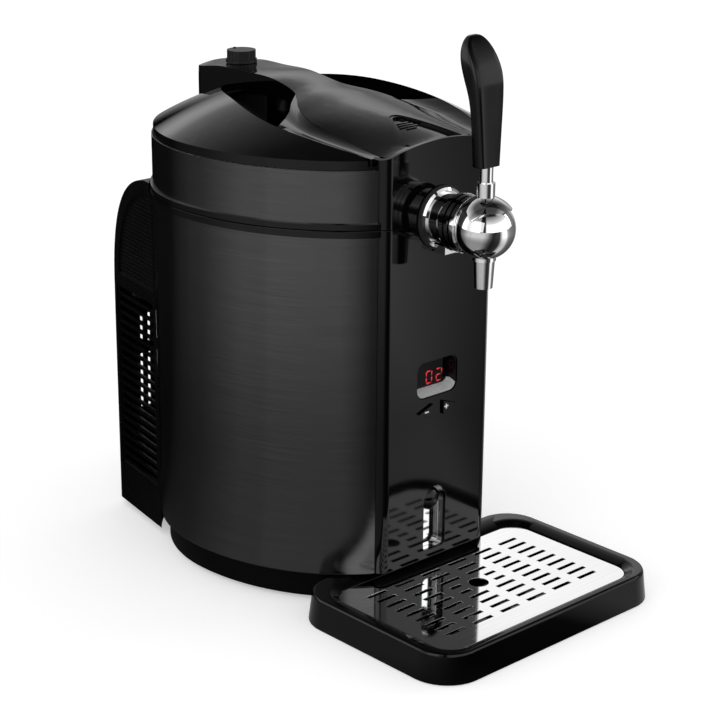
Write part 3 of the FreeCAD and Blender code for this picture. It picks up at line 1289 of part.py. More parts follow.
def rear_housing():
    """Moulded shell with louvred sides, ribbed shoulders and a slotted back."""
    outer = housing_plan(0.0, HOUSING_LOW, HOUSING_TOP).common(housing_profile(0.0))
    inner = housing_plan(HOUSING_WALL, HOUSING_LOW, HOUSING_TOP).common(housing_profile(HOUSING_WALL))
    body_room = egg_prism(SKIN_GAP, -1.0, TALL)
    lid_room = egg_prism(LID_SWEEP_GAP, SLEEVE_Z1 - 1.0, TALL)
    base_room = egg_prism(SKIN_GAP, 0, TALL)
    shell = cut_all(outer.cut(inner), [body_room, lid_room, base_room])
    tools = []
    for row in range(LOUVRE_ROWS):
        z0 = LOUVRE_Z0 + row * LOUVRE_PITCH
        tools.append(both_sides(side_frame(z0, z0 + LOUVRE_SLOT_H, LOUVRE_Y0, LOUVRE_Y1, 6.0, 3.0)))
    low, high = LOUVRE_Z0 - PANEL_BORDER, LOUVRE_Z0 + LOUVRE_ROWS * LOUVRE_PITCH
    lower = side_frame(low, high, LOUVRE_Y0 - PANEL_BORDER, LOUVRE_Y1 + PANEL_BORDER, PANEL_SINK, 3.0)
    tools.append(both_sides(lower))
    front = LOUVRE_Y0 - PANEL_BORDER
    rib_z1 = RIB_Z0 + RIB_COUNT * RIB_PITCH
    upper = side_frame(RIB_Z0 - PANEL_BORDER / 2.0, rib_z1, front, HOUSING_REAR, PANEL_SINK, 3.0)
    tools.append(both_sides(upper.common(housing_profile(PANEL_EDGE))))
    edge = housing_profile(PANEL_EDGE + 1.5)
    for row in range(RIB_COUNT):
        z0 = RIB_Z0 + row * RIB_PITCH
        rib = side_frame(z0, z0 + RIB_PITCH / 2.0, front + 1.5, HOUSING_REAR, PANEL_SINK + RIB_DEPTH, 3.0)
        tools.append(both_sides(rib.common(edge)))
    for column in range(REAR_SLOT_COLUMNS):
        x = (column - (REAR_SLOT_COLUMNS - 1) / 2.0) * REAR_SLOT_PITCH
        for z0, z1 in REAR_SLOT_ROWS:
            half = REAR_SLOT_W / 2.0
            tools.append(box(x - half, x + half, HOUSING_REAR - 14.0, HOUSING_REAR + 5.0, z0, z1))
    tools.append(inlet_room(SKIN_GAP))
    for x, z in screw_points():
        tools.append(rod_y(SCREW_R + 0.1, HOUSING_REAR - 20.0, HOUSING_REAR + 5.0, x, z))
    return cut_all(shell, tools)


def screw_points():
    """Four screws that hold the housing's back."""
    x = HOUSING_SIDE_REAR_X - SCREW_INSET
    low = HOUSING_LOW + SCREW_RISE
    high = HOUSING_SHOULDER_Z - SCREW_INSET
    return [(side * x, z) for side in (-1, 1) for z in (low, high)]


def wall_y(z):
    """Outer face of the leaning rear wall at height z."""
    share = (z - HOUSING_LOW) / (HOUSING_SHOULDER_Z - HOUSING_LOW)
    return HOUSING_REAR - HOUSING_LEAN * share


def housing_screws():
    pieces = []
    for x, z in screw_points():
        head_y = wall_y(z) - 0.6
        head = rod_y(SCREW_R, head_y - HOUSING_WALL, head_y, x, z)
        head = head.cut(box(x - 2.5, x + 2.5, head_y - 0.9, head_y + 1, z - 0.5, z + 0.5))
        head = head.cut(box(x - 0.5, x + 0.5, head_y - 0.9, head_y + 1, z - 2.5, z + 2.5))
        thread = rod_y(SCREW_R * 0.5, head_y - HOUSING_WALL - SCREW_LEN, head_y - HOUSING_WALL, x, z)
        pieces.append(fuse_all([head, thread]))
    return Part.makeCompound(pieces)


def inlet_room(grow):
    x0, x1 = INLET_X - INLET_W / 2.0 - grow, INLET_X + INLET_W / 2.0 + grow
    z0, z1 = INLET_Z - INLET_H / 2.0 - grow, INLET_Z + INLET_H / 2.0 + grow
    return box(x0, x1, HOUSING_REAR - INLET_DEPTH - grow, HOUSING_REAR + 5.0, z0, z1)


def mains_inlet():
    """Appliance inlet: a socket with three pins, flush with the housing's back."""
    y1 = wall_y(INLET_Z) - 0.1
    body = inlet_room(0.0).common(box(-TALL, TALL, 0, y1, 0, TALL))
    w, h = INLET_W / 2.0 - 3.0, INLET_H / 2.0 - 3.0
    cup = upright_prism(INLET_X - w, INLET_X + w, INLET_Z - h, INLET_Z + h, y1 - 15.0, y1 + 1.0, 3.0)
    pins = []
    for dx, dz in ((-6.0, -1.5), (0.0, 2.0), (6.0, -1.5)):
        x, z = INLET_X + dx, INLET_Z + dz
        pins.append(box(x - 1.0, x + 1.0, y1 - 15.5, y1 - 3.0, z - 2.0, z + 2.0))
    return fuse_all([body.cut(cup)] + pins)


# ---------------------------------------------------------------- cooler
def cold_block():
    """Aluminium block hollowed to the well's wall."""
    half = COLD_BLOCK_SIZE / 2.0
    block = box(-half, half, BODY_R * 0.5, COLD_BLOCK_REACH, COOLER_Z - half, COOLER_Z + half)
    return block.cut(disc(WELL_R + WELL_WALL + SKIN_GAP, 0, TALL))


def thermo_module():
    half = COLD_BLOCK_SIZE / 2.0
    y0 = COLD_BLOCK_REACH
    return box(-half, half, y0, y0 + MODULE_T, COOLER_Z - half, COOLER_Z + half)


def heat_sink():
    half = SINK_SIZE / 2.0
    y0 = COLD_BLOCK_REACH + MODULE_T
    y1 = y0 + SINK_BASE_T
    pieces = [box(-half, half, y0, y1, COOLER_Z - half, COOLER_Z + half)]
    pitch = (SINK_SIZE - SINK_FIN_T) / (SINK_FINS - 1)
    for index in range(SINK_FINS):
        x = -half + index * pitch
        pieces.append(box(x, x + SINK_FIN_T, y1, y1 + SINK_FIN_H, COOLER_Z - half, COOLER_Z + half))
    return fuse_all(pieces)


def fan_rear():
    return COLD_BLOCK_REACH + MODULE_T + SINK_BASE_T + SINK_FIN_H + FAN_GAP


def fan_frame():
    """Square frame with a round duct, four struts and the motor boss."""
    half = FAN_SIZE / 2.0
    y0 = fan_rear()
    frame = upright_prism(-half, half, COOLER_Z - half, COOLER_Z + half, y0, y0 + FAN_T, 4.0)
    frame = frame.cut(rod_y(FAN_HOLE_R, y0 - 1.0, y0 + FAN_T + 1.0, 0, COOLER_Z))
    y1 = y0 + FAN_T
    boss = rod_y(FAN_HUB_R, y1 - 3.0, y1, 0, COOLER_Z)
    struts = []
    for angle in (45, 135, 225, 315):
        strut = box(FAN_HUB_R - 2.0, FAN_HOLE_R + 2.0, y1 - 3.0, y1, -2.0, 2.0)
        strut.rotate(vec(0, 0, 0), vec(0, 1, 0), angle)
        strut.translate(vec(0, 0, COOLER_Z))
        struts.append(strut)
    shaft = rod_y(FAN_SHAFT_R, y0 + 6.0, y1 - 3.0, 0, COOLER_Z)
    return fuse_all([frame, boss, shaft] + struts)


def fan_impeller():
    """Hub with pitched, twisted blades."""
    y0 = fan_rear() + 1.0
    y1 = fan_rear() + FAN_T - 3.0 - MOVING_GAP
    hub = rod_y(FAN_HUB_R, y0, y1, 0, COOLER_Z)
    depth = y1 - y0 - 1.0
    pieces = [hub]
    for index in range(FAN_BLADES):
        sections = []
        for radius, pitch in ((FAN_HUB_R - 2.0, 48.0), (FAN_BLADE_R - 0.6, 62.0)):
            chord = depth / math.cos(math.radians(90.0 - pitch)) * 0.86
            half_t = FAN_BLADE_T / 2.0
            corners = [(-chord / 2, -half_t), (chord / 2, -half_t), (chord / 2, half_t), (-chord / 2, half_t)]
            lean = math.radians(pitch)
            points = []
            for u, t in corners:
                x = u * math.cos(lean) - t * math.sin(lean)
                y = u * math.sin(lean) + t * math.cos(lean)
                points.append(vec(x, (y0 + y1) / 2.0 + y, radius))
            sections.append(closed(points))
        blade = Part.makeLoft(sections, True, True)
        blade.rotate(vec(0, 0, 0), vec(0, 1, 0), 360.0 * index / FAN_BLADES)
        blade.translate(vec(0, 0, COOLER_Z))
        pieces.append(blade)
    solid = fuse_all(pieces)
    solid = solid.common(rod_y(FAN_BLADE_R, y0, y1, 0, COOLER_Z))
    socket = rod_y(FAN_SHAFT_R + PIN_CLEARANCE, y0 + 5.0, y1 + 1.0, 0, COOLER_Z)
    return solid.cut(socket)


# ---------------------------------------------------------------- export
def main():
    export("base", base())
    export("bottom_plate", bottom_plate())
    export("foot_pads", foot_pads())
    export("cabinet_floor", cabinet_floor())
    export("outer_sleeve", outer_sleeve())
    export("foam_body", foam_body())
    export("keg_well", keg_well())
    export("keg_mat", keg_mat())
    export("top_deck", top_deck())
    export("body_collar", body_collar())

    export("front_panel", front_panel())
    export("display_bezel", display_bezel())
    export("display_window", display_window())
    export("control_board", control_board())
    export("button_minus", button(-1))
    export("button_plus", button(1))
    export("slot_liner", slot_liner())
    export("slot_cap", slot_cap())

    export("tap_shank", tap_shank())
    export("tap_gasket", tap_gasket())
    export("tap_flange", tap_flange())
    export("tap_collar", tap_collar())
    export("tap_rings", tap_rings())
    export("tap_ball", tap_ball())
    export("tap_nozzle", tap_nozzle())
    export("tap_bonnet", tap_bonnet())
    export("tap_stem", tap_stem())
    export("tap_handle", tap_handle())
    export("beer_line", beer_line())
    export("line_coupler", line_coupler())

    block = spine_block()
    export("lid_cover", lid_cover())
    export("lid_spine", lid_spine(block))
    export("lid_front", lid_front())
    export("lid_band", lid_band())
    export("lid_lip", lid_lip())
    export("lid_insulation", lid_insulation())
    export("lid_liner", lid_liner())
    export("lid_seal", lid_seal())
    export("release_button", release_button(block))
    export("latch_hooks", latch_hooks())
    export("latch_striker", latch_striker())
    export("regulator_knob", regulator_knob())
    export("hinge_body", hinge_body())
    export("hinge_pin", hinge_pin())
    export("hinge_lid", hinge_lid())

    export("drip_tray", drip_tray())
    export("drip_grate", drip_grate())

    export("rear_housing", rear_housing())
    export("housing_screws", housing_screws())
    export("mains_inlet", mains_inlet())
    export("cold_block", cold_block())
    export("thermo_module", thermo_module())
    export("heat_sink", heat_sink())
    export("fan_frame", fan_frame())
    export("fan_impeller", fan_impeller())
    print(len(PARTS), "nodes")


main()
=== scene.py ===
import math

import bmesh
import bpy
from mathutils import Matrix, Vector


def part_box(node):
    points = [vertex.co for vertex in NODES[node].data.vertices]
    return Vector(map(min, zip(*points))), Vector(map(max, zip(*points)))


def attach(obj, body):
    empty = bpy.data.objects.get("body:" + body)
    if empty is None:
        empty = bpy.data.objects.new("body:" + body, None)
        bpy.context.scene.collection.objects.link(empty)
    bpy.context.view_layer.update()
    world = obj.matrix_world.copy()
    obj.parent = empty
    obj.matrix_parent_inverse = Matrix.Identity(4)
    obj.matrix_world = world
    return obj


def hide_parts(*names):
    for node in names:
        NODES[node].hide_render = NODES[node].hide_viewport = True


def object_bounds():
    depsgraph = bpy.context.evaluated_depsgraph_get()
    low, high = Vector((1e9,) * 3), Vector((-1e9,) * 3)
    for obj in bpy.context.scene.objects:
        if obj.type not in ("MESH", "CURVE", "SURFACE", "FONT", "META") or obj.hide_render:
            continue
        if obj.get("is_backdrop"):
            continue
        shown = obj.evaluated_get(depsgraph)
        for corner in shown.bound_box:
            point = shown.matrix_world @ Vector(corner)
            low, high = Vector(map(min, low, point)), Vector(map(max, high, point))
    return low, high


bl_info = {
    "name": "Mini keg dispenser finish",
    "version": (1, 0, 0),
    "blender": (4, 5, 0),
    "location": "View3D > Sidebar > Keg dispenser",
    "description": "Dresses the packed mini keg dispenser with its finishes, fine pieces and studio",
    "category": "Object",
}

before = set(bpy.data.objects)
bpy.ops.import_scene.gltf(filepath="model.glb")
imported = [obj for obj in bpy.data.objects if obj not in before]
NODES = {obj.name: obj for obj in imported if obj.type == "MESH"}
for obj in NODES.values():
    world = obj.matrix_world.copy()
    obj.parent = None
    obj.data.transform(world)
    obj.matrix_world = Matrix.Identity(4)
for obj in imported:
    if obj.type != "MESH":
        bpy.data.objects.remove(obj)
CAD_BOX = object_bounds()
MM = 0.001


# ---------------------------------------------------------------- colours and nodes
def linear(hexcode):
    """Turns an sRGB hex colour to linear red, green, blue and a full alpha."""
    channels = [int(hexcode[i:i + 2], 16) / 255.0 for i in (1, 3, 5)]
    return [c / 12.92 if c <= 0.04045 else ((c + 0.055) / 1.055) ** 2.4 for c in channels] + [1.0]


def hex_of(colour):
    """sRGB hex of a linear colour."""
    code = "#"
    for channel in list(colour)[:3]:
        level = 12.92 * channel if channel <= 0.0031308 else 1.055 * channel ** (1 / 2.4) - 0.055
        code += "%02x" % round(max(0.0, min(1.0, level)) * 255)
    return code


def shade(hexcode, share):
    """The hex colour with its light multiplied by a share."""
    return hex_of([share * channel for channel in linear(hexcode)])


def add_node(tree, kind, settings=None, values=None, links=None):
    """Adds a node, sets its settings and socket values, and links its sockets to others' outputs."""
    node = tree.nodes.new(kind)
    for key, value in (settings or {}).items():
        setattr(node, key, value)
    for key, value in (values or {}).items():
        node.inputs[key].default_value = value
    for key, output in (links or {}).items():
        tree.links.new(output, node.inputs[key])
    return node


def surface(name, colour, roughness, metallic=0.0, **sockets):
    """A material with one Principled shader, its plain values set on its own sockets."""
    material = bpy.data.materials.new(name)
    material.use_nodes = True
    tree = material.node_tree
    tree.nodes.clear()
    output = add_node(tree, "ShaderNodeOutputMaterial")
    values = {"Base Color": linear(colour), "Roughness": roughness, "Metallic": metallic}
    values.update({key.replace("_", " "): value for key, value in sockets.items()})
    shader = add_node(tree, "ShaderNodeBsdfPrincipled", values=values)
    tree.links.new(shader.outputs[0], output.inputs[0])
    place = add_node(tree, "ShaderNodeTexCoord")
    return material, tree, shader, place.outputs["Object"]


def pattern(tree, place, cells, detail=2.0, roughness=0.5):
    """An irregular pattern from 0 to 1, whose cells are given in millimetres along X, Y and Z."""
    scale = [1.0 / (cell * MM) for cell in cells]
    mapping = add_node(tree, "ShaderNodeMapping", values={"Scale": scale}, links={"Vector": place})
    return add_node(
        tree, "ShaderNodeTexNoise",
        values={"Scale": 1.0, "Detail": detail, "Roughness": roughness},
        links={"Vector": mapping.outputs[0]},
    ).outputs[0]


# the pattern values at which a finish reaches its two extremes
PATTERN_ENDS = (0.3, 0.7)


def vary(tree, shader, source, colours=None, roughness=None, depth=None, strength=1.0, ends=PATTERN_ENDS):
    """Lets a pattern blend two hex colours, move the roughness, and raise the surface by millimetres."""
    blended = None
    if colours:
        blend = add_node(tree, "ShaderNodeValToRGB", links={"Fac": source})
        for element, end, colour in zip(blend.color_ramp.elements, ends, colours):
            element.position = end
            element.color = linear(colour)
        blended = blend.outputs[0]
        tree.links.new(blended, shader.inputs["Base Color"])
    if roughness:
        sweep = add_node(
            tree, "ShaderNodeMapRange", links={"Value": source},
            values={"From Min": ends[0], "From Max": ends[1], "To Min": roughness[0], "To Max": roughness[1]},
        )
        tree.links.new(sweep.outputs[0], shader.inputs["Roughness"])
    if depth:
        bump = add_node(
            tree, "ShaderNodeBump", values={"Strength": strength, "Distance": depth * MM},
            links={"Height": source},
        )
        tree.links.new(bump.outputs[0], shader.inputs["Normal"])
    return blended


# ---------------------------------------------------------------- finishes
def brushed_black_steel(colour):
    """Stainless sheet, brushed round the body and stained black: it draws light out upright. The strokes
    are finer than a render shows, so they are drawn 0.5 mm high."""
    material, tree, shader, place = surface(
        "brushed_black_steel", colour, 0.17, 1.0, Anisotropic=0.6, Anisotropic_Rotation=0.25,
    )
    strokes = pattern(tree, place, (46.0, 46.0, 0.5), detail=4.0, roughness=0.7)
    drift = pattern(tree, place, (110.0, 110.0, 6.0))
    mixed = add_node(
        tree, "ShaderNodeMix", settings={"data_type": "FLOAT"},
        values={"Factor": 0.15}, links={"A": strokes, "B": drift},
    ).outputs[0]
    vary(tree, shader, mixed, colours=(shade(colour, 0.8), shade(colour, 1.2)))
    vary(tree, shader, strokes, roughness=(0.15, 0.19), depth=0.003)
    round_body = add_node(tree, "ShaderNodeTangent", settings={"direction_type": "RADIAL", "axis": "Z"})
    tree.links.new(round_body.outputs[0], shader.inputs["Tangent"])
    return material


def polished_abs(colour):
    """ABS from a polished mould: deep black gloss that waves very slightly over its width."""
    material, tree, shader, place = surface("polished_abs", colour, 0.07, Specular_IOR_Level=0.28)
    wave = pattern(tree, place, (60.0, 60.0, 60.0), detail=1.0)
    vary(tree, shader, wave, (shade(colour, 0.75), shade(colour, 1.5)), (0.05, 0.08), 0.03)
    return material


def satin_abs(name, low, high, roughness, level=0.3):
    """ABS from a spark-eroded mould: a fine even grain, drawn at 0.7 mm so that it shows."""
    material, tree, shader, place = surface(name, low, roughness, Specular_IOR_Level=level)
    grain = pattern(tree, place, (0.7, 0.7, 0.7))
    patch = pattern(tree, place, (45.0, 45.0, 45.0), detail=1.0)
    vary(tree, shader, patch, colours=(low, high))
    vary(tree, shader, grain, roughness=(roughness - 0.05, roughness + 0.06), depth=0.012)
    return material


def mirror_chrome():
    """Chrome plate on buffed brass: a full mirror with the faintest polishing haze."""
    material, tree, shader, place = surface("mirror_chrome", "#ebebec", 0.025, 1.0)
    haze = pattern(tree, place, (9.0, 9.0, 9.0))
    vary(tree, shader, haze, ("#e6e6e8", "#f2f2f2"), (0.015, 0.04))
    return material


def polished_steel():
    """Stainless sheet, stamped and polished: a bright mirror with faint rolling lines."""
    material, tree, shader, place = surface("polished_steel", "#ececec", 0.06, 1.0)
    lines = pattern(tree, place, (90.0, 1.2, 90.0))
    vary(tree, shader, lines, ("#e6e6e6", "#f1f1f1"), (0.03, 0.08))
    return material


def lacquered_handle():
    """Moulded handle with a clear lacquer: black with soft, slightly uneven shine."""
    material, tree, shader, place = surface(
        "lacquered_handle", "#050505", 0.2, Specular_IOR_Level=0.2, Coat_Weight=0.15, Coat_Roughness=0.06,
    )
    wave = pattern(tree, place, (12.0, 12.0, 30.0))
    vary(tree, shader, wave, ("#030303", "#070707"), (0.16, 0.26))
    return material


def smoked_acrylic():
    """Smoked acrylic lens over the display: dark, with a sharp surface shine."""
    material, tree, shader, place = surface("smoked_acrylic", "#050102", 0.05, Specular_IOR_Level=0.12)
    cloud = pattern(tree, place, (14.0, 14.0, 14.0), detail=1.0)
    vary(tree, shader, cloud, ("#040102", "#070203"), (0.04, 0.08))
    return material


def lit_segment(colour):
    """Red light-emitting segment behind the lens: a glow that is slightly uneven along the bar."""
    material, tree, shader, place = surface("lit_segment", colour, 0.35, Emission_Strength=0.5)
    glow = pattern(tree, place, (3.0, 3.0, 3.0), detail=1.0)
    red = vary(tree, shader, glow, (shade(colour, 0.8), shade(colour, 1.2)))
    tree.links.new(red, shader.inputs["Emission Color"])
    return material


def painted_ledge_reflection():
    """Painted reflection on the lower ledge of the display's recess: a silver-grey satin colour for the light
    that the upward-facing ledge mirrors, with a fine orange peel.
    """
    material, tree, shader, place = surface("painted_ledge_reflection", "#b4b4b4", 0.45)
    peel = pattern(tree, place, (1.1, 1.1, 1.1))
    vary(tree, shader, peel, ("#a2a2a2", "#c0c0c0"), (0.38, 0.52))
    return material


def pad_print():
    """Pale grey pad-printed ink on the keys: flat and slightly mottled."""
    material, tree, shader, place = surface("pad_print", "#e4e4e4", 0.5)
    ink = pattern(tree, place, (0.8, 0.8, 0.8))
    vary(tree, shader, ink, ("#d8d8d8", "#ececec"), (0.42, 0.58))
    return material


def moulded_rubber():
    """Black nitrile rubber: dull, with a fine talc-like mottle."""
    material, tree, shader, place = surface("moulded_rubber", "#121212", 0.75)
    mottle = pattern(tree, place, (2.5, 2.5, 2.5), detail=3.0)
    vary(tree, shader, mottle, ("#0f0f0f", "#1b1b1a"), (0.66, 0.84), 0.08, 0.4)
    return material


def insulating_foam():
    """Poured polyurethane foam: cream, matt, with open cells of about a millimetre."""
    material, tree, shader, place = surface("insulating_foam", "#e2dcc4", 0.85)
    cells = pattern(tree, place, (1.4, 1.4, 1.4), detail=4.0, roughness=0.7)
    vary(tree, shader, cells, ("#cfc7a8", "#eae5d2"), (0.78, 0.92), 0.5, 0.8)
    return material


def drawn_aluminium():
    """Drawn aluminium well: bright satin with upright drawing lines."""
    material, tree, shader, place = surface("drawn_aluminium", "#c9cbcd", 0.32, 1.0)
    lines = pattern(tree, place, (1.2, 1.2, 160.0), detail=3.0, roughness=0.6)
    vary(tree, shader, lines, ("#b7b9bc", "#d6d8d9"), (0.26, 0.4), 0.02, 0.5)
    return material


def extruded_aluminium():
    """Extruded aluminium: plain satin metal with die lines along the fins."""
    material, tree, shader, place = surface("extruded_aluminium", "#bcbec1", 0.4, 1.0)
    lines = pattern(tree, place, (0.9, 0.9, 120.0))
    vary(tree, shader, lines, ("#a6a8ab", "#c9cbcd"), (0.32, 0.5))
    return material


def zinc_plate():
    """Zinc-plated screw steel: grey, with a faint mottled passivation."""
    material, tree, shader, place = surface("zinc_plate", "#85878a", 0.35, 1.0)
    mottle = pattern(tree, place, (1.6, 1.6, 1.6), detail=3.0)
    vary(tree, shader, mottle, ("#707275", "#9b9da0"), (0.28, 0.45))
    return material


def solder_mask():
    """Circuit board: green solder mask over faint tracks, drawn as bricks 0.8 mm long and 0.4 mm high."""
    material, tree, shader, place = surface("solder_mask", "#1d5a34", 0.3)
    # a unit of the brick pattern is two bricks long and four high
    units_per_metre = 660.0
    mapping = add_node(
        tree, "ShaderNodeMapping", values={"Scale": [units_per_metre] * 3}, links={"Vector": place},
    )
    tracks = add_node(
        tree, "ShaderNodeTexBrick", links={"Vector": mapping.outputs[0]},
        values={
            "Color1": linear("#1a5230"), "Color2": linear("#22663d"), "Mortar": linear("#123c22"),
            "Scale": 1.0,
        },
    )
    tree.links.new(tracks.outputs[0], shader.inputs["Base Color"])
    vary(tree, shader, tracks.outputs[1], roughness=(0.3, 0.4), ends=(0.0, 1.0))
    return material


def milky_hose():
    """Milky flexible hose: soft and slightly see-through."""
    material, tree, shader, place = surface("milky_hose", "#cfd0c8", 0.4, Transmission_Weight=0.35)
    cloud = pattern(tree, place, (4.0, 4.0, 4.0))
    vary(tree, shader, cloud, ("#c4c6bc", "#dcdcd4"), (0.34, 0.48))
    return material


def fired_ceramic():
    """Fired alumina plates of the cooling module: white and dull."""
    material, tree, shader, place = surface("fired_ceramic", "#e6e6e1", 0.6)
    grain = pattern(tree, place, (0.8, 0.8, 0.8), detail=3.0)
    vary(tree, shader, grain, ("#dadad4", "#eeeeea"), (0.52, 0.7))
    return material


# ---------------------------------------------------------------- settings
class KegFinishSettings(bpy.types.PropertyGroup):
    """Colours of the outside."""

    steel: bpy.props.FloatVectorProperty(
        name="Brushed steel", description="Colour of the black brushed sheet", subtype="COLOR",
        size=4, min=0.0, max=1.0, default=linear("#565657"),
    )
    plastic: bpy.props.FloatVectorProperty(
        name="Polished plastic", description="Colour of the glossy mouldings", subtype="COLOR",
        size=4, min=0.0, max=1.0, default=linear("#040404"),
    )
    digits: bpy.props.FloatVectorProperty(
        name="Display digits", description="Colour of the lit segments", subtype="COLOR",
        size=4, min=0.0, max=1.0, default=linear("#d4222d"),
    )


class KegDetailSettings(bpy.types.PropertyGroup):
    """Sizes of the fine pieces."""

    digit_height: bpy.props.FloatProperty(
        name="Digit height", description="Height of the display's digits",
        unit="LENGTH", min=0.004, max=0.015, default=0.0112,
    )
    edge: bpy.props.FloatProperty(
        name="Edge", description="Rounding of the mouldings' sharp edges",
        unit="LENGTH", min=0.0001, max=0.0015, default=0.0006,
    )


# ---------------------------------------------------------------- finishing the frame
class KEG_OT_finishes(bpy.types.Operator):
    """Gives every CAD node its finish"""

    bl_idname = "keg.finishes"
    bl_label = "Finishes"

    def execute(self, context):
        colours = context.scene.keg_finish
        steel = brushed_black_steel(hex_of(colours.steel))
        gloss = polished_abs(hex_of(colours.plastic))
        housing = satin_abs("grained_abs", "#040404", "#080808", 0.26, 0.12)
        base = satin_abs("satin_base_abs", "#030303", "#060606", 0.3, 0.06)
        inner = satin_abs("inner_abs", "#1c1c1d", "#242425", 0.5)
        matte = satin_abs("matte_abs", "#090909", "#101010", 0.4)
        chrome = mirror_chrome()
        bright = polished_steel()
        rubber = moulded_rubber()
        foam = insulating_foam()
        extruded = extruded_aluminium()
        groups = (
            (steel, ("outer_sleeve", "lid_band")),
            (gloss, ("body_collar", "front_panel", "display_bezel", "button_minus", "button_plus",
                     "slot_cap", "lid_cover", "lid_spine", "lid_front", "lid_lip", "release_button",
                     "drip_tray")),
            (housing, ("rear_housing",)),
            (base, ("base", "bottom_plate")),
            (inner, ("cabinet_floor", "top_deck", "lid_liner")),
            (matte, ("latch_hooks", "latch_striker", "regulator_knob", "hinge_body", "hinge_lid",
                     "mains_inlet", "fan_frame", "fan_impeller", "line_coupler")),
            (chrome, ("tap_shank", "tap_flange", "tap_collar", "tap_rings", "tap_ball", "tap_nozzle",
                      "tap_bonnet", "tap_stem")),
            (bright, ("slot_liner", "drip_grate", "hinge_pin")),
            (rubber, ("foot_pads", "keg_mat", "tap_gasket", "lid_seal")),
            (foam, ("foam_body", "lid_insulation")),
            (drawn_aluminium(), ("keg_well",)),
            (extruded, ("cold_block", "heat_sink")),
            (lacquered_handle(), ("tap_handle",)),
            (smoked_acrylic(), ("display_window",)),
            (solder_mask(), ("control_board",)),
            (milky_hose(), ("beer_line",)),
            (zinc_plate(), ("housing_screws",)),
            (fired_ceramic(), ("thermo_module",)),
        )
        for material, names in groups:
            for name in names:
                mesh = NODES[name].data
                mesh.materials.clear()
                mesh.materials.append(material)
        bare = [n for n, o in NODES.items() if not o.data.materials]
        if bare:
            raise RuntimeError("nodes with no finish: %s" % bare)
        return {"FINISHED"}


# ---------------------------------------------------------------- making pieces by hand
def leave_edit_mode():
    """Goes back to object mode, whatever was being edited."""
    if bpy.context.object and bpy.context.object.mode != "OBJECT":
        bpy.ops.object.mode_set(mode="OBJECT")


def begin(name, primitive, **size):
    """Adds a primitive with nothing else selected and names it."""
    leave_edit_mode()
    bpy.ops.object.select_all(action="DESELECT")
    primitive(**size)
    piece = bpy.context.active_object
    piece.name = name
    piece.data.name = name
    return piece


def choose(piece):
    """Selects one piece alone and makes it the active one."""
    leave_edit_mode()
    bpy.ops.object.select_all(action="DESELECT")
    piece.select_set(True)
    bpy.context.view_layer.objects.active = piece


def settle(piece, material, body, smooth=30.0, replaces=()):
    """Puts the piece's place in its mesh, smooths it and hangs it on its body."""
    choose(piece)
    bpy.ops.object.transform_apply(location=True, rotation=True, scale=True)
    bpy.ops.object.shade_smooth_by_angle(angle=math.radians(smooth))
    piece.data.materials.clear()
    piece.data.materials.append(material)
    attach(piece, body)
    if replaces:
        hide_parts(*replaces)


def twin(piece, name):
    """A copy of a piece, with a mesh of its own."""
    copy = piece.copy()
    copy.data = piece.data.copy()
    copy.name = name
    copy.data.name = name
    bpy.context.scene.collection.objects.link(copy)
    return copy


def join(pieces, name):
    """Joins pieces into the first one."""
    choose(pieces[0])
    for piece in pieces:
        piece.select_set(True)
    if len(pieces) > 1:
        bpy.ops.object.join()
    pieces[0].name = name
    pieces[0].data.name = name
    return pieces[0]


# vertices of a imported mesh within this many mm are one, and faces within this many degrees are flat
DOUBLES_APART = 0.01
FLAT_WITHIN = 0.05


def node_copy(name):
    """A copy of a CAD node's mesh with its doubles merged and flat faces joined, ready to be reshaped."""
    mesh = NODES[name].data.copy()
    piece = bpy.data.objects.new(name + "_piece", mesh)
    bpy.context.scene.collection.objects.link(piece)
    choose(piece)
    bpy.ops.mesh.customdata_custom_splitnormals_clear()
    bpy.ops.object.mode_set(mode="EDIT")
    bpy.ops.mesh.select_all(action="SELECT")
    bpy.ops.mesh.remove_doubles(threshold=DOUBLES_APART * MM)
    bpy.ops.mesh.dissolve_limited(angle_limit=math.radians(FLAT_WITHIN))
    bpy.ops.object.mode_set(mode="OBJECT")
    return piece


# ---------------------------------------------------------------- rounded mouldings
# an edge that turns by more than this many degrees is rounded
SHARP_FROM = 38.0
# how much more a large face counts in the normals than a small one: 50 is neutral and 100 the most
FACE_WEIGHT = 90


def rounded_copy(name, width, body, above):
    """Stands for a CAD node with its sharp edges above a height rounded, so that they catch the light."""
    material = NODES[name].data.materials[0]
    piece = node_copy(name)
    bpy.ops.object.mode_set(mode="EDIT")
    bpy.context.tool_settings.mesh_select_mode = (False, True, False)
    bpy.ops.mesh.select_all(action="DESELECT")
    bpy.ops.mesh.edges_select_sharp(sharpness=math.radians(SHARP_FROM))
    mesh = bmesh.from_edit_mesh(piece.data)
    for edge in mesh.edges:
        if min(v.co.z for v in edge.verts) < above or not edge.is_manifold:
            edge.select_set(False)
    mesh.select_flush_mode()
    bmesh.update_edit_mesh(piece.data)
    bpy.ops.mesh.bevel(offset=width, segments=2, clamp_overlap=True)
    bpy.context.tool_settings.mesh_select_mode = (True, False, False)
    bpy.ops.object.mode_set(mode="OBJECT")
    settle(piece, material, body, smooth=32.0, replaces=(name,))
    weigh = piece.modifiers.new("weigh", "WEIGHTED_NORMAL")
    weigh.keep_sharp = True
    weigh.weight = FACE_WEIGHT
    bpy.ops.object.modifier_apply(modifier="weigh")


# a height below every node, where all of a node is rounded
ALL_OVER = -1.0
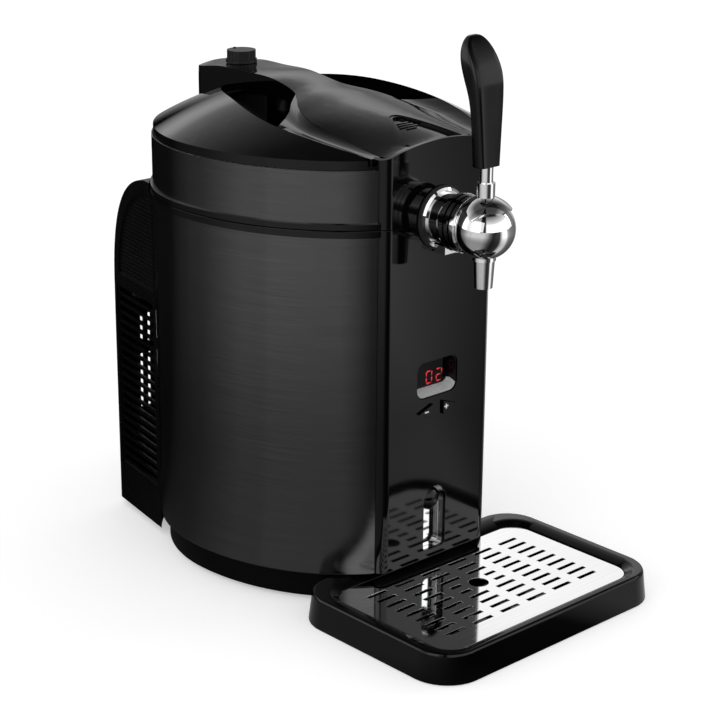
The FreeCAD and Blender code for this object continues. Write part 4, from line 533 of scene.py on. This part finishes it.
# node, share of the edge setting, lowest height in metres, body, slot
EDGED = (
    ("lid_cover", 2.0, 0.325, "lid", "gloss_black"),
    ("lid_spine", 0.6, 0.30, "lid", "gloss_black"),
    ("lid_front", 0.5, ALL_OVER, "lid", "gloss_black"),
    ("lid_lip", 0.6, ALL_OVER, "lid", "gloss_black"),
    ("body_collar", 0.6, ALL_OVER, "cabinet", "gloss_black"),
    ("front_panel", 0.6, ALL_OVER, "cabinet", "gloss_black"),
    ("release_button", 0.5, ALL_OVER, "release", "gloss_black"),
    ("button_minus", 0.5, ALL_OVER, "minus_key", "gloss_black"),
    ("button_plus", 0.5, ALL_OVER, "plus_key", "gloss_black"),
    ("drip_tray", 0.9, ALL_OVER, "tray", "gloss_black"),
    ("drip_grate", 0.35, ALL_OVER, "grate", "bright_metal"),
    ("rear_housing", 1.0, ALL_OVER, "cabinet", "housing_black"),
    ("slot_liner", 0.4, ALL_OVER, "cabinet", "bright_metal"),
    ("slot_cap", 0.6, ALL_OVER, "cabinet", "gloss_black"),
)


class KEG_OT_edges(bpy.types.Operator):
    """Rounds the sharp edges of the glossy mouldings"""

    bl_idname = "keg.edges"
    bl_label = "Rounded edges"

    def execute(self, context):
        edge = context.scene.keg_detail.edge
        for name, share, above, body, slot in EDGED:
            rounded_copy(name, edge * share, body, above)
        return {"FINISHED"}


# ---------------------------------------------------------------- display recess
# in mm: how high above the recess's foot its sloping ledge reaches, and how thick the recess's rim is
LEDGE_HEIGHT = 9.0
RIM_WIDTH = 0.6
# in mm: the middles of the ledge's faces lie further than the first behind the recess's front, and less
# than the second behind the lens's front
LEDGE_FROM = 0.05
LEDGE_TO = 0.4
# a face counts as the ledge, and gets the painted reflection, where it looks upward at least this much
LEDGE_SLOPE = 0.2


class KEG_OT_recess(bpy.types.Operator):
    """Paints a reflection on the lower ledge of the display's recess, on its faces that look upward"""

    bl_idname = "keg.recess"
    bl_label = "Display recess"

    def execute(self, context):
        gloss = NODES["display_bezel"].data.materials[0]
        piece = node_copy("display_bezel")
        settle(piece, gloss, "cabinet", replaces=("display_bezel",))
        piece.data.materials.append(painted_ledge_reflection())
        low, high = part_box("display_bezel")
        lens_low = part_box("display_window")[0]
        painted = 0
        # the ledge's upward-facing faces get the painted reflection: silver-grey for the light that they
        # mirror
        for face in piece.data.polygons:
            inside = low.y + LEDGE_FROM * MM < face.center.y < lens_low.y + LEDGE_TO * MM
            ledge = face.normal.z > LEDGE_SLOPE and face.center.z < low.z + LEDGE_HEIGHT * MM
            if inside and ledge and abs(face.center.x) < high.x - RIM_WIDTH * MM:
                face.material_index = 1
                painted += 1
        if not painted:
            raise RuntimeError("the recess has no ledge to paint")
        return {"FINISHED"}


# ---------------------------------------------------------------- webs beside the bridge
# borders of the left web, in mm: across its front, along the spine's crease, along the wing's edge, and
# round the finger recess; neighbouring borders share their end points
WEB_FRONT = ((-51.6, -73.5, 357.2), (-61.0, -73.5, 357.0))
WEB_CREASE = (
    (-51.6, -73.5, 357.2), (-52.0, -65.0, 358.4), (-52.4, -38.4, 362.9), (-52.8, -19.1, 366.8),
    (-52.9, -8.0, 369.2), (-52.4, 3.0, 371.4), (-50.0, 12.0, 373.5), (-45.2, 23.0, 376.3),
    (-37.4, 35.0, 379.2), (-28.0, 48.0, 382.5),
)
WEB_WING = (
    (-61.0, -73.5, 357.0), (-66.2, -63.0, 359.0), (-75.0, -42.5, 363.4), (-80.7, -23.2, 367.0),
    (-82.7, -13.1, 368.6), (-84.0, -3.0, 370.2), (-84.6, 4.0, 371.2),
)
WEB_RECESS = (
    (-28.0, 48.0, 382.5), (-37.0, 43.0, 377.6), (-46.0, 34.5, 373.4), (-56.0, 28.0, 370.6),
    (-70.0, 18.0, 369.6), (-80.0, 9.0, 370.4), (-84.6, 4.0, 371.2),
)
# height of the sunken pan that the web stands on, in mm
WEB_FOOT = 352.0
WEB_ROWS_ALONG = 28
WEB_ROWS_ACROSS = 12


def on_border(points, share):
    """Place at a share of a border's length."""
    points = [Vector(point) for point in points]
    lengths = [(b - a).length for a, b in zip(points, points[1:])]
    rest = share * sum(lengths)
    for start, end, length in zip(points, points[1:], lengths):
        if rest <= length:
            return start.lerp(end, rest / length)
        rest -= length
    return points[-1]


def web_place(u, v):
    """Place on the web: u runs from the front to the recess, v from the spine to the wing."""
    along = on_border(WEB_CREASE, u).lerp(on_border(WEB_WING, u), v)
    across = on_border(WEB_FRONT, v).lerp(on_border(WEB_RECESS, v), u)
    near = Vector(WEB_FRONT[0]).lerp(Vector(WEB_FRONT[1]), v)
    far = Vector(WEB_RECESS[0]).lerp(Vector(WEB_RECESS[-1]), v)
    return along + across - near.lerp(far, u)


class KEG_OT_webs(bpy.types.Operator):
    """Webs that carry the bridge's root out to the wings, with the finger recess behind them"""

    bl_idname = "keg.webs"
    bl_label = "Bridge webs"

    def execute(self, context):
        left = begin(
            "bridge_web_left", bpy.ops.mesh.primitive_grid_add,
            x_subdivisions=WEB_ROWS_ALONG, y_subdivisions=WEB_ROWS_ACROSS, size=2.0,
        )
        bpy.ops.object.mode_set(mode="EDIT")
        mesh = bmesh.from_edit_mesh(left.data)
        for vertex in mesh.verts:
            vertex.co = web_place((vertex.co.x + 1) / 2, (vertex.co.y + 1) / 2) * MM
        bmesh.update_edit_mesh(left.data)
        bpy.ops.mesh.select_all(action="SELECT")
        bpy.ops.mesh.extrude_region_move(TRANSFORM_OT_translate={"value": (0.0, 0.0, -MM)})
        mesh = bmesh.from_edit_mesh(left.data)
        for vertex in mesh.verts:
            if vertex.select:
                vertex.co.z = WEB_FOOT * MM
        bmesh.update_edit_mesh(left.data)
        leave_edit_mode()
        right = twin(left, "bridge_web_right")
        right.scale.x = -1.0
        material = NODES["lid_spine"].data.materials[0]
        for piece in (left, right):
            settle(piece, material, "lid", smooth=40.0)
            bpy.ops.object.mode_set(mode="EDIT")
            bpy.ops.mesh.select_all(action="SELECT")
            bpy.ops.mesh.normals_make_consistent(inside=False)
            leave_edit_mode()
        return {"FINISHED"}


# ---------------------------------------------------------------- tap handle
# height above the handle's foot, width and depth in mm, how far its middle lies behind the foot's
HANDLE_SECTIONS = (
    (0.7, 20.4, 11.9, 0.0), (26.0, 23.9, 11.4, 0.4), (44.0, 26.9, 11.6, 1.0), (54.0, 28.4, 13.6, 2.4),
    (61.0, 29.5, 15.8, 4.0), (68.0, 29.8, 17.2, 6.0), (75.0, 29.4, 16.6, 8.6), (82.0, 27.6, 13.6, 11.4),
    (87.5, 23.6, 10.2, 13.4), (92.0, 17.0, 6.8, 15.0), (94.6, 9.0, 3.6, 16.0),
)
HANDLE_CORNER = 3.2
# in mm: how far the foot stands in front of the solid's, and how far the head may rise above the part
HANDLE_AHEAD = 0.1
HANDLE_ABOVE = 0.2
# how sharp the edge round the foot stays when the paddle is smoothed
FOOT_CREASE = 0.6


class KEG_OT_handle(bpy.types.Operator):
    """The lever's handle: a paddle that swells upward and rolls back over its head"""

    bl_idname = "keg.handle"
    bl_label = "Tap handle"

    def execute(self, context):
        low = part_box("tap_handle")[0]
        foot_width, foot_depth = HANDLE_SECTIONS[0][1], HANDLE_SECTIONS[0][2]
        piece = begin("tap_handle_paddle", bpy.ops.mesh.primitive_plane_add, size=1.0)
        bpy.ops.object.mode_set(mode="EDIT")
        bpy.ops.mesh.select_all(action="SELECT")
        bpy.ops.transform.resize(value=(foot_width * MM, foot_depth * MM, 1.0))
        bpy.ops.mesh.bevel(offset=HANDLE_CORNER * MM, segments=4, affect="VERTICES")
        below = (0.0, foot_width, foot_depth, 0.0)
        for section in HANDLE_SECTIONS:
            rise, width, depth, back = section
            step = (0.0, (back - below[3]) * MM, (rise - below[0]) * MM)
            bpy.ops.mesh.extrude_region_move(TRANSFORM_OT_translate={"value": step})
            bpy.ops.transform.resize(value=(width / below[1], depth / below[2], 1.0))
            below = section
        mesh = bmesh.from_edit_mesh(piece.data)
        for edge in mesh.edges:
            edge.select_set(all(abs(v.co.z) < DOUBLES_APART * MM for v in edge.verts))
        bmesh.update_edit_mesh(piece.data)
        bpy.ops.transform.edge_crease(value=FOOT_CREASE)
        leave_edit_mode()
        smooth = piece.modifiers.new("smooth", "SUBSURF")
        smooth.levels = 2
        bpy.ops.object.modifier_apply(modifier="smooth")
        piece.location = (0.0, low.y + (foot_depth / 2 - HANDLE_AHEAD) * MM, low.z)
        material = NODES["tap_handle"].data.materials[0]
        settle(piece, material, "lever", smooth=60.0, replaces=("tap_handle",))
        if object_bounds()[1][2] > CAD_BOX[1][2] + HANDLE_ABOVE * MM:
            raise RuntimeError("the handle stands above the part")
        return {"FINISHED"}


# ---------------------------------------------------------------- signs and digits
def face_front(piece, centre, upright):
    """Turns a piece drawn flat so that it faces the front, lying along X or standing along Z."""
    piece.rotation_euler = (math.radians(90.0), math.radians(90.0) if upright else 0.0, 0.0)
    piece.location = centre
    return piece


# all in mm: the signs' strokes, and where they sit from the part's middle and above the keys' middle
SIGN_LENGTH = 4.4
SIGN_HEIGHT = 4.0
SIGN_STROKE = 1.15
SIGN_DEPTH = 0.05
SIGN_RISE = 0.5
SIGN_PLACES = (("button_minus", "minus_key", -13.0), ("button_plus", "plus_key", 8.4))
# each layer of ink lies this far in front of the one below
INK_LAYER = 0.01


def sign_bar(length):
    """A thin bar of ink with round corners, drawn flat."""
    piece = begin("sign_bar", bpy.ops.mesh.primitive_plane_add, size=1.0)
    bpy.ops.object.mode_set(mode="EDIT")
    bpy.ops.mesh.select_all(action="SELECT")
    bpy.ops.transform.resize(value=(length * MM, SIGN_STROKE * MM, 1.0))
    bpy.ops.mesh.bevel(offset=SIGN_STROKE * MM / 5, segments=3, affect="VERTICES")
    bpy.ops.mesh.extrude_region_move(TRANSFORM_OT_translate={"value": (0.0, 0.0, SIGN_DEPTH * MM)})
    leave_edit_mode()
    return piece


class KEG_OT_signs(bpy.types.Operator):
    """Prints a minus and a plus on the keys"""

    bl_idname = "keg.signs"
    bl_label = "Key signs"

    def execute(self, context):
        ink = pad_print()
        level, upright = sign_bar(SIGN_LENGTH), sign_bar(SIGN_HEIGHT)
        bars = {"button_minus": [level], "button_plus": [twin(level, "sign_bar"), upright]}
        for node, body, across in SIGN_PLACES:
            low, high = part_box(node)
            centre = Vector((across * MM, low.y + INK_LAYER * MM, (low.z + high.z) / 2 + SIGN_RISE * MM))
            for layer, bar in enumerate(bars[node]):
                face_front(bar, centre - Vector((0.0, layer * INK_LAYER * MM, 0.0)), bar == upright)
            settle(join(bars[node], node + "_sign"), ink, body)
        return {"FINISHED"}


# shares of the digits' height: their width, the segments' width, and the step from digit to digit
DIGIT_WIDTH = 0.66
SEGMENT_WIDTH = 0.135
DIGIT_STEP = 0.97
# in mm: thickness of a segment, and the digits' middle and foot from the window's middle and foot
SEGMENT_DEPTH = 0.1
DIGITS_ACROSS = 4.3
DIGITS_FOOT = 0.5
SEGMENTS_LIT = {"0": "abcdef", "2": "abged"}


def segment_bar(length, width):
    """One segment of a digit: a bar with pointed ends, drawn flat."""
    hexagon = {"vertices": 6, "radius": width / 2, "fill_type": "NGON"}
    piece = begin("segment", bpy.ops.mesh.primitive_circle_add, **hexagon)
    bpy.ops.object.mode_set(mode="EDIT")
    mesh = bmesh.from_edit_mesh(piece.data)
    # the hexagon's two end corners are drawn out to the bar's length
    for vertex in mesh.verts:
        side = 1.0 if vertex.co.x > 0 else -1.0
        end = abs(vertex.co.x) > width * 0.4
        vertex.co.x = side * (length / 2 if end else length / 2 - width / 2)
        vertex.co.y = 0.0 if end else math.copysign(width / 2, vertex.co.y)
    bmesh.update_edit_mesh(piece.data)
    bpy.ops.mesh.select_all(action="SELECT")
    bpy.ops.mesh.extrude_region_move(TRANSFORM_OT_translate={"value": (0.0, 0.0, SEGMENT_DEPTH * MM)})
    leave_edit_mode()
    return piece


class KEG_OT_display(bpy.types.Operator):
    """Seven-segment digits in the display window"""

    bl_idname = "keg.display"
    bl_label = "Display digits"

    def execute(self, context):
        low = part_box("display_window")[0]
        height = context.scene.keg_detail.digit_height
        width = height * SEGMENT_WIDTH
        middle = low + Vector((0.0, SEGMENT_DEPTH * MM / 2, DIGITS_FOOT * MM + height / 2))
        middle.x = DIGITS_ACROSS * MM
        half = (height - width) / 2
        side = (height * DIGIT_WIDTH - width) / 2
        gap = width / 4
        level, upright = segment_bar(2 * side - gap, width), segment_bar(half - gap, width)
        places = {
            "a": (0, half, level), "g": (0, 0, level), "d": (0, -half, level),
            "f": (-side, half / 2, upright), "b": (side, half / 2, upright),
            "e": (-side, -half / 2, upright), "c": (side, -half / 2, upright),
        }
        bars = []
        for index, digit in enumerate("02"):
            for key in SEGMENTS_LIT[digit]:
                across, above, shape = places[key]
                across += (index - 0.5) * height * DIGIT_STEP
                centre = middle + Vector((across, 0.0, above))
                bars.append(face_front(twin(shape, "segment"), centre, shape == upright))
        digits = join(bars, "display_digits")
        settle(digits, lit_segment(hex_of(context.scene.keg_finish.digits)), "cabinet")
        for shape in (level, upright):
            bpy.data.meshes.remove(shape.data)
        return {"FINISHED"}


# ---------------------------------------------------------------- stage
# brightness of the studio's walls and paper by compass direction, in degrees from +X
WALL_STOPS = (
    (-180, 0.7), (-157, 0.7), (-152, 0.02), (-134, 0.02), (-129, 0.75), (-36, 0.75), (-26, 0.15), (4, 0.1),
    (22, 0.42), (36, 0.54), (52, 0.66), (60, 0.72), (74, 1.0), (140, 1.0), (156, 0.5), (170, 0.6),
)
# besides the studio's grading, the paper's stops hold a painted shadow: the mirrored paper is darkest from
# about -115 to -80 degrees, in front, where the tray shades it
PAPER_AND_SHADOW_STOPS = (
    (-180, 0.32), (-136, 0.31), (-126, 0.2), (-115, 0.06), (-104, 0.01), (-80, 0.03), (-68, 0.62),
    (-53, 0.62), (-49, 0.36), (-45, 0.18), (-32, 0.1), (4, 0.06), (18, 0.2), (30, 0.36), (50, 0.4),
    (62, 0.0), (112, 0.01), (142, 0.1), (166, 0.28),
)
# share of the wall's brightness that is left near the horizon, and the heights between which it fades,
# as the sine of the elevation
SKIRT_STOPS = (
    (-180, 1.0), (12, 1.0), (26, 0.3), (57, 0.3), (64, 0.0), (106, 0.0), (120, 0.8), (132, 1.0),
)
SKIRT_HEIGHT = (0.2, 0.38)
# brightness by height: the sine of the elevation, from straight down to straight up
HEIGHT_STOPS = (
    (-1.0, 1.0), (0.44, 1.0), (0.5, 0.62), (0.6, 0.45), (0.72, 0.26), (0.87, 0.05), (1.0, 0.04),
)
# painted shade: the mirrored paper is darker near the object, where the object shades it; its brightness
# grows from the first share to the second between these two distances from the paper's middle
PAPER_SHADE_SHARES = (0.5, 1.15)
PAPER_SHADE_REACH = (0.45, 1.0)
# how much brighter than white paper the brightest part of the studio is
STUDIO_GAIN = 1.9
# light of the room on dull surfaces, and what the paper adds of its own to the eye
ROOM_LIGHT = 0.8
PAPER_GLOW = 0.4
PAPER_SIZE = 30.0
# the paper lies this far below the part's feet
PAPER_BELOW = 0.5 * MM
# name, place, width, height, radiance of each softbox, and the point that they are aimed at
LAMPS = (
    ("left_box", (-2.2, -0.7, 1.1), 2.0, 1.6, 0.9),
    ("right_strip", (1.9, -1.0, 0.9), 0.25, 1.2, 3.0),
)
LAMPS_AIM = (0.0, 0.0, 0.22)
# place in metres, turn about X, Y and Z in degrees, lens in mm, and shift as a share of the width
CAMERA_PLACE = (-1.0203, -1.0845, 0.6819)
CAMERA_TURN = (70.99, 0.0, -41.74)
CAMERA_LENS = 97.43
CAMERA_SHIFT = 0.0654
WHITE = "#ffffff"


def graded(tree, source, stops, start, end):
    """Brightness along a ramp, from places and values. The first place stands for the ramp's start, and
    its opposite for the end."""
    share = add_node(
        tree, "ShaderNodeMapRange", values={"From Min": start, "From Max": end}, links={"Value": source},
    )
    ramp = add_node(tree, "ShaderNodeValToRGB", links={"Fac": share.outputs[0]})
    elements = ramp.color_ramp.elements
    for index, (at, value) in enumerate(stops):
        position = (at - stops[0][0]) / (-2.0 * stops[0][0])
        element = elements[index] if index < 2 else elements.new(position)
        element.position = position
        element.color = (value, value, value, 1.0)
    return ramp.outputs[0]


def around(tree, separated, stops):
    """Brightness by compass direction."""
    angle = add_node(
        tree, "ShaderNodeMath", settings={"operation": "ARCTAN2"},
        links={0: separated.outputs["Y"], 1: separated.outputs["X"]},
    ).outputs[0]
    return graded(tree, angle, stops, -math.pi, math.pi)


def strength(tree, gain, *shares):
    """Strength of a light: its shares multiplied with each other and with a gain."""
    times = {"operation": "MULTIPLY"}
    total = shares[0]
    for share in shares[1:]:
        total = add_node(tree, "ShaderNodeMath", settings=times, links={0: total, 1: share}).outputs[0]
    return add_node(tree, "ShaderNodeMath", settings=times, values={1: gain}, links={0: total}).outputs[0]


def pale_floor():
    """Seamless white paper: it stays white to the eye and keeps the object's soft shadow. In what is
    mirrored, it is graded by compass and carries a painted shade near the object and a painted shadow in
    front, where the tray stands.
    """
    material = bpy.data.materials.new("pale_floor")
    material.cycles.emission_sampling = "NONE"
    material.use_nodes = True
    tree = material.node_tree
    tree.nodes.clear()
    output = add_node(tree, "ShaderNodeOutputMaterial")
    rays = add_node(tree, "ShaderNodeLightPath")
    place = add_node(tree, "ShaderNodeTexCoord")
    separated = add_node(tree, "ShaderNodeSeparateXYZ", links={0: place.outputs["Object"]})
    distance = add_node(
        tree, "ShaderNodeVectorMath", settings={"operation": "LENGTH"}, links={0: place.outputs["Object"]},
    ).outputs["Value"]
    # painted shade: the mirrored paper is darker near the object
    paper_shade_share = add_node(
        tree, "ShaderNodeMapRange", links={"Value": distance},
        values={
            "From Min": PAPER_SHADE_REACH[0], "From Max": PAPER_SHADE_REACH[1],
            "To Min": PAPER_SHADE_SHARES[0], "To Max": PAPER_SHADE_SHARES[1],
        },
    ).outputs[0]
    paper = add_node(tree, "ShaderNodeBsdfDiffuse", values={"Color": linear("#e9e9e9")})
    glow = add_node(
        tree, "ShaderNodeEmission", values={"Color": linear(WHITE)},
        links={"Strength": strength(tree, PAPER_GLOW, rays.outputs["Is Camera Ray"])},
    )
    lit = add_node(tree, "ShaderNodeAddShader", links={0: paper.outputs[0], 1: glow.outputs[0]})
    # what gloss mirrors: the paper graded by compass, with its painted shade near the object and the tray's
    # painted shadow
    mirrored = add_node(
        tree, "ShaderNodeEmission", values={"Color": linear(WHITE)},
        links={"Strength": strength(tree, STUDIO_GAIN, around(tree, separated, PAPER_AND_SHADOW_STOPS), paper_shade_share)},
    )
    mix = add_node(
        tree, "ShaderNodeMixShader",
        links={0: rays.outputs["Is Glossy Ray"], 1: lit.outputs[0], 2: mirrored.outputs[0]},
    )
    tree.links.new(mix.outputs[0], output.inputs[0])
    return material


def studio_world():
    """The room: plain white to the eye, soft light on dull surfaces, and graded walls in what is mirrored."""
    world = bpy.data.worlds.new("studio")
    # light paths tell the paper, the studio and the backdrop apart, so none of them is sampled as a lamp
    world.cycles.sampling_method = "NONE"
    world.use_nodes = True
    tree = world.node_tree
    tree.nodes.clear()
    output = add_node(tree, "ShaderNodeOutputWorld")
    rays = add_node(tree, "ShaderNodeLightPath")
    place = add_node(tree, "ShaderNodeTexCoord")
    direction = add_node(tree, "ShaderNodeSeparateXYZ", links={0: place.outputs["Generated"]})
    height = graded(tree, direction.outputs["Z"], HEIGHT_STOPS, -1.0, 1.0)
    above_skirt = add_node(
        tree, "ShaderNodeMapRange", links={"Value": direction.outputs["Z"]},
        values={"From Min": SKIRT_HEIGHT[0], "From Max": SKIRT_HEIGHT[1]},
    )
    skirt = add_node(
        tree, "ShaderNodeMix", settings={"data_type": "FLOAT"}, values={"B": 1.0},
        links={"Factor": above_skirt.outputs[0], "A": around(tree, direction, SKIRT_STOPS)},
    ).outputs[0]
    wall = strength(tree, STUDIO_GAIN, around(tree, direction, WALL_STOPS), height, skirt)
    seen = add_node(
        tree, "ShaderNodeMath", settings={"operation": "MAXIMUM"},
        links={0: rays.outputs["Is Camera Ray"], 1: rays.outputs["Is Transmission Ray"]},
    )
    plain = add_node(tree, "ShaderNodeBackground", values={"Color": linear(WHITE), "Strength": 1.0})
    soft = add_node(tree, "ShaderNodeBackground", values={"Color": linear(WHITE), "Strength": ROOM_LIGHT})
    studio = add_node(
        tree, "ShaderNodeBackground", values={"Color": linear(WHITE)}, links={"Strength": wall},
    )
    lit = add_node(
        tree, "ShaderNodeMixShader",
        links={0: rays.outputs["Is Glossy Ray"], 1: soft.outputs[0], 2: studio.outputs[0]},
    )
    mix = add_node(
        tree, "ShaderNodeMixShader", links={0: seen.outputs[0], 1: lit.outputs[0], 2: plain.outputs[0]},
    )
    tree.links.new(mix.outputs[0], output.inputs[0])
    return world


class KEG_OT_stage(bpy.types.Operator):
    """Pale floor, soft studio light and the camera"""

    bl_idname = "keg.stage"
    bl_label = "Stage"

    def execute(self, context):
        scene = context.scene
        paper = {"size": PAPER_SIZE, "location": (0.0, 0.0, -PAPER_BELOW)}
        floor = begin("floor", bpy.ops.mesh.primitive_plane_add, **paper)
        floor.data.materials.append(pale_floor())
        floor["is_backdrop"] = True
        scene.world = studio_world()
        for name, place, width, height, radiance in LAMPS:
            lamp = bpy.data.lights.new(name, "AREA")
            lamp.shape = "RECTANGLE"
            lamp.size, lamp.size_y = width, height
            lamp.energy = radiance * math.pi * width * height
            holder = bpy.data.objects.new(name, lamp)
            scene.collection.objects.link(holder)
            holder.location = place
            aim = Vector(LAMPS_AIM) - Vector(place)
            holder.rotation_euler = aim.to_track_quat("-Z", "Y").to_euler()
        view = bpy.data.cameras.new("view")
        view.lens = CAMERA_LENS
        view.shift_x = CAMERA_SHIFT
        view.clip_start, view.clip_end = 0.01, 100.0
        camera = bpy.data.objects.new("view", view)
        scene.collection.objects.link(camera)
        camera.location = CAMERA_PLACE
        camera.rotation_euler = [math.radians(turn) for turn in CAMERA_TURN]
        scene.camera = camera
        scene.view_settings.view_transform = "Standard"
        return {"FINISHED"}


# ---------------------------------------------------------------- panel and run
class KEG_PT_panel(bpy.types.Panel):
    """Lists the dispenser's pieces and settings."""

    bl_idname = "KEG_PT_panel"
    bl_label = "Keg dispenser"
    bl_space_type = "VIEW_3D"
    bl_region_type = "UI"
    bl_category = "Keg dispenser"

    def draw(self, context):
        for group in (context.scene.keg_finish, context.scene.keg_detail):
            for key in group.bl_rna.properties.keys():
                if key not in ("rna_type", "name"):
                    self.layout.prop(group, key)
        for operator in OPERATORS:
            self.layout.operator(operator.bl_idname)


OPERATORS = (
    KEG_OT_finishes, KEG_OT_edges, KEG_OT_recess, KEG_OT_webs, KEG_OT_handle, KEG_OT_display, KEG_OT_signs,
    KEG_OT_stage,
)
CLASSES = (KegFinishSettings, KegDetailSettings) + OPERATORS + (KEG_PT_panel,)


def register():
    for cls in CLASSES:
        bpy.utils.register_class(cls)
    bpy.types.Scene.keg_finish = bpy.props.PointerProperty(type=KegFinishSettings)
    bpy.types.Scene.keg_detail = bpy.props.PointerProperty(type=KegDetailSettings)


def unregister():
    del bpy.types.Scene.keg_detail
    del bpy.types.Scene.keg_finish
    for cls in reversed(CLASSES):
        bpy.utils.unregister_class(cls)


def main():
    register()
    for operator in OPERATORS:
        group, name = operator.bl_idname.split(".")
        getattr(getattr(bpy.ops, group), name)()


if __name__ == "__main__":
    main()
